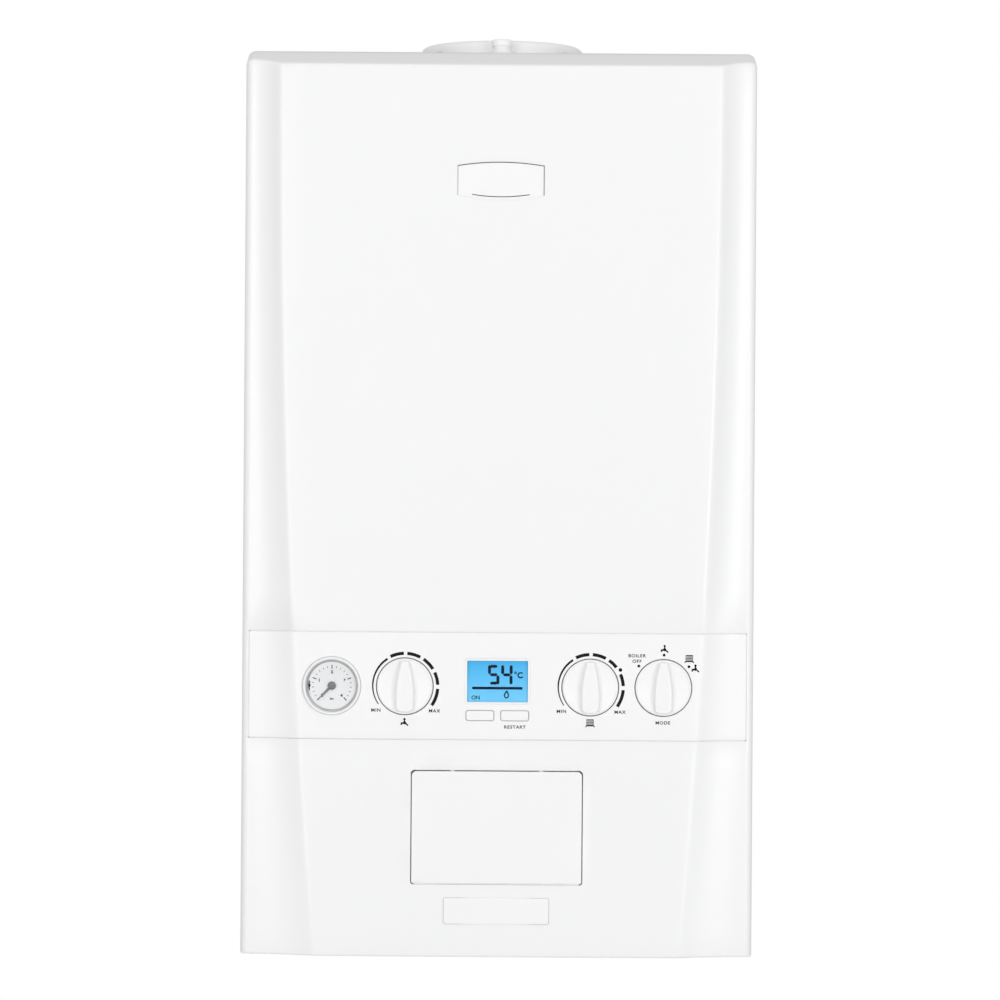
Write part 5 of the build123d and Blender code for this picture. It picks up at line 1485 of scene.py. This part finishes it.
# ---- Panel studs ----
# Four zinc plated studs welded behind the flanks, which push into the clips of the side panels
# and hold the front panel on.
stud_x = half_width - 0.0115
stud_radius = 0.003
stud_foot_radius = 0.0055
stud_end = seam_y + 0.009
stud_foot = 0.003
stud_nets = []
for z in (0.120, case_height - 0.080):
    root = skin_y(stud_x + stud_foot_radius, z) + 0.0009
    for x in (-stud_x, stud_x):
        stud_nets.append(rod_net((x, root, z), (x, stud_end, z), stud_radius))
        stud_nets.append(rod_net((x, root, z), (x, root + stud_foot, z), stud_foot_radius))
zinc = finishes["galvanised_steel"]
face_out(make_piece("panel_studs", *gather(stud_nets), zinc, "front_panel", "galvanised_steel", sharp=40))


# ---- Upper and lower plates ----
# Two thin plain white plates fixed to the front: one with bowed long edges near the top, and an
# oblong one at the foot. The fine grey lines along their edges are painted shade at the plates'
# rims: on the upper plate wider at the top and the right, with an inner arc near its foot.
plate_proud, plate_edge = 0.0007, 0.0004
upper_half = 0.0334
upper_foot = 0.5857
upper_head = 0.6086
upper_sag = 0.0036
upper_rise = 0.0028
lower_half = 0.0408
lower_foot = 0.0252
lower_head = 0.0460
lower_round = 0.0018


def proud_plate(outline):
    points, faces = skinned_sheet(outline, [], net_pitch, plate_edge, plate_proud + 0.0003)
    return [point - Vector((0, plate_proud, 0)) for point in points], faces


def plate_skin(x, z):
    return skin_y(x, z) - plate_proud


def bow(start, finish, level, rise, count=20):
    """Places along a shallow arc from start to finish, rise above its ends in the middle."""
    middle, half = (start + finish) / 2, (finish - start) / 2
    return [(x, level + rise * (1 - ((x - middle) / half) ** 2))
            for x in [start] + steps(start, finish, count)]


upper_top = bow(upper_half, -upper_half, upper_head, upper_rise)
upper_outline = dense(upper_top + bow(-upper_half, upper_half, upper_foot, -upper_sag), hole_pitch)
make_piece("upper_plate", *proud_plate(upper_outline), fascia_white, "front_panel", "white_plastic", sharp=40)
rule = 0.0003
line_side = upper_half - rule
foot_line_half = upper_half * 0.66
# Painted shade lines at the upper plate's rims: widest at the top, narrower at the right, thinnest at the
# left, and an inner arc near the foot.
upper_rim_shade_lines = [([(x, z - rule) for x, z in upper_top], 0.0007),
               ([(line_side, upper_foot), (line_side, upper_head - rule)], 0.00055),
               ([(-line_side, upper_foot), (-line_side, upper_head - rule)], 0.0003),
               (bow(-foot_line_half, foot_line_half, upper_foot + 0.0006, -0.0018), 0.0007)]
upper_rim_shade_marks = [stroke(here, after, width) for line, width in upper_rim_shade_lines
               for here, after in zip(line, line[1:])]
lower_loop = slab_points(0, (lower_foot + lower_head) / 2, 2 * lower_half, lower_head - lower_foot,
                         lower_round)
make_piece("lower_plate", *proud_plate(dense(lower_loop, net_pitch)), fascia_white, "front_panel",
           "white_plastic", sharp=40)
# A thin painted shade line all round the lower plate.
lower_rim_shade_line = shrink(lower_loop, rule)
lower_rim_shade_marks = [stroke(here, after, rule) for here, after in zip(lower_rim_shade_line, lower_rim_shade_line[1:] + lower_rim_shade_line[:1])
               if math.dist(here, after) > 1e-6]
# Dark grey and pale grey paint for these painted shade lines.
upper_rim_shade_paint = ink("plate_dark_grey", (0.09, 0.09, 0.095))
lower_rim_shade_paint = ink("plate_pale_grey", (0.40, 0.40, 0.41))
printed("upper_plate_lines", upper_rim_shade_marks, plate_skin, upper_rim_shade_paint, "front_panel", "dial_grey")
printed("lower_plate_lines", lower_rim_shade_marks, plate_skin, lower_rim_shade_paint, "front_panel", "dial_grey")


# ---- Sampling cap and turret screws ----
# A short white tube with a rounded press-on cap in front of the flue turret, for the engineer's
# probe; four pan head screws hold the turret down, and hexagon nuts hold the combustion cover.
# A lighter copy of the white moulding for the flue turret and the probe cap: painted light, brighter than the
# other white mouldings to make up for the lamp light that the case keeps off the turret.
turret_brightened_white = grained_plastic("turret_moulding", grey(0.93), grey(0.945), 0.34, 0.46, 2600.0, 0.1)
frame["nodes"]["flue_turret"].data.materials[0] = turret_brightened_white
cap_low, cap_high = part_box("sampling_cap")
cap_middle = (cap_low + cap_high) / 2
cap_radius = 0.0085
cap_top = cap_high.z - 0.0026
cap_edge = 0.0018
cap_profile = [(0, cap_top), (cap_radius - cap_edge, cap_top),
               (cap_radius - cap_edge * 0.3, cap_top - cap_edge * 0.3), (cap_radius, cap_top - cap_edge),
               (cap_radius, cap_low.z), (0, cap_low.z)]


def upright(profile, x, y, count=64):
    """A form turned about a vertical axis at x and y, from (radius, z) pairs."""
    lines = []
    for k in range(count):
        angle = math.tau * k / count
        lines.append([Vector((x + radius * math.cos(angle), y + radius * math.sin(angle), z))
                      for radius, z in profile])
    return weave(lines, closed=True)


cap_net = upright(round_corners(cap_profile, 0.0007, 4), cap_middle.x, cap_middle.y)
# The probe cap wears the turret's brightened white: painted light.
probe_cap = make_piece("probe_cap", *cap_net, turret_brightened_white, "chassis", "white_plastic", sharp=45)
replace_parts(face_out(probe_cap), "sampling_cap")


def lathe_mesh(name, profile, count=32):
    """A loose mesh turned about the vertical axis, for a tree to set in many places."""
    points, faces = upright(profile, 0, 0, count)
    mesh = bpy.data.meshes.new(name)
    mesh.from_pydata([tuple(point) for point in points], [], faces)
    work = bmesh.new()
    work.from_mesh(mesh)
    bmesh.ops.remove_doubles(work, verts=work.verts, dist=1e-7)
    bmesh.ops.recalc_face_normals(work, faces=work.faces)
    work.to_mesh(mesh)
    work.free()
    return bpy.data.objects.new(name, mesh)


def fastener_tree():
    """One fastener on every point of the piece it is given."""
    tree, given, ending = node_tree("fasteners", "Scale")
    tree.interface.new_socket("Fastener", in_out="INPUT", socket_type="NodeSocketObject")
    shape = add_node(tree, "GeometryNodeObjectInfo", Object=given.outputs["Fastener"])
    size = add_node(tree, "ShaderNodeCombineXYZ", X=given.outputs["Scale"], Y=given.outputs["Scale"],
                    Z=given.outputs["Scale"])
    points = add_node(tree, "GeometryNodeMeshToPoints", Mesh=given.outputs["Geometry"])
    copies = add_node(tree, "GeometryNodeInstanceOnPoints", Points=points.outputs[0],
                      Instance=shape.outputs["Geometry"], Scale=size.outputs[0])
    finish_tree(tree, given, ending, copies.outputs[0])
    return tree


fasteners = fastener_tree()
screw_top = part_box("screws_and_nuts")[1].z
head_height, head_radius = 0.0031, 0.00425
shank_radius, screw_length = 0.00195, 0.0138
recess_depth, recess_rim = 0.0014, 0.0002
turret_y = -0.120
screw_offset = 0.0502
screw_profile = [(0, -recess_depth), (0.0011, -recess_depth), (0.0013, -recess_rim), (0.0023, -recess_rim),
                 (0.0034, -0.0007), (head_radius, -0.0017), (head_radius, -head_height),
                 (shank_radius, -head_height), (shank_radius, -screw_length), (0, -screw_length)]
pan_head = lathe_mesh("pan_head", screw_profile)
screw_places = [(sx * screw_offset, turret_y + sy * screw_offset, screw_top)
                for sx in (-1, 1) for sy in (-1, 1)]
turret_screws = grown("turret_screws", fasteners, zinc, "chassis", "galvanised_steel", screw_places,
                      Scale=1.0, Fastener=pan_head)
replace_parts(turret_screws, "screws_and_nuts")
nut_corner = 0.0062
nut_height = 0.005
nut_chamfer = 0.0007
nut_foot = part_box("combustion_cover")[1].z
nut_columns = (-0.119, 0.049)
nut_rows = (-0.221, -0.1635, -0.106)
nut_profile = [(0, nut_height), (nut_corner * 0.55, nut_height), (nut_corner * 0.84, nut_height),
               (nut_corner, nut_height - nut_chamfer), (nut_corner, nut_chamfer),
               (nut_corner * 0.9, 0), (0, 0)]
hexagon = lathe_mesh("hexagon", nut_profile, 6)
nut_places = [(x, y, nut_foot) for x in nut_columns for y in nut_rows]
grown("cover_nuts", fasteners, finishes["brass"], "chassis", "brass", nut_places, Scale=1.0, Fastener=hexagon)
for spare in (pan_head, hexagon):
    bpy.data.objects.remove(spare)
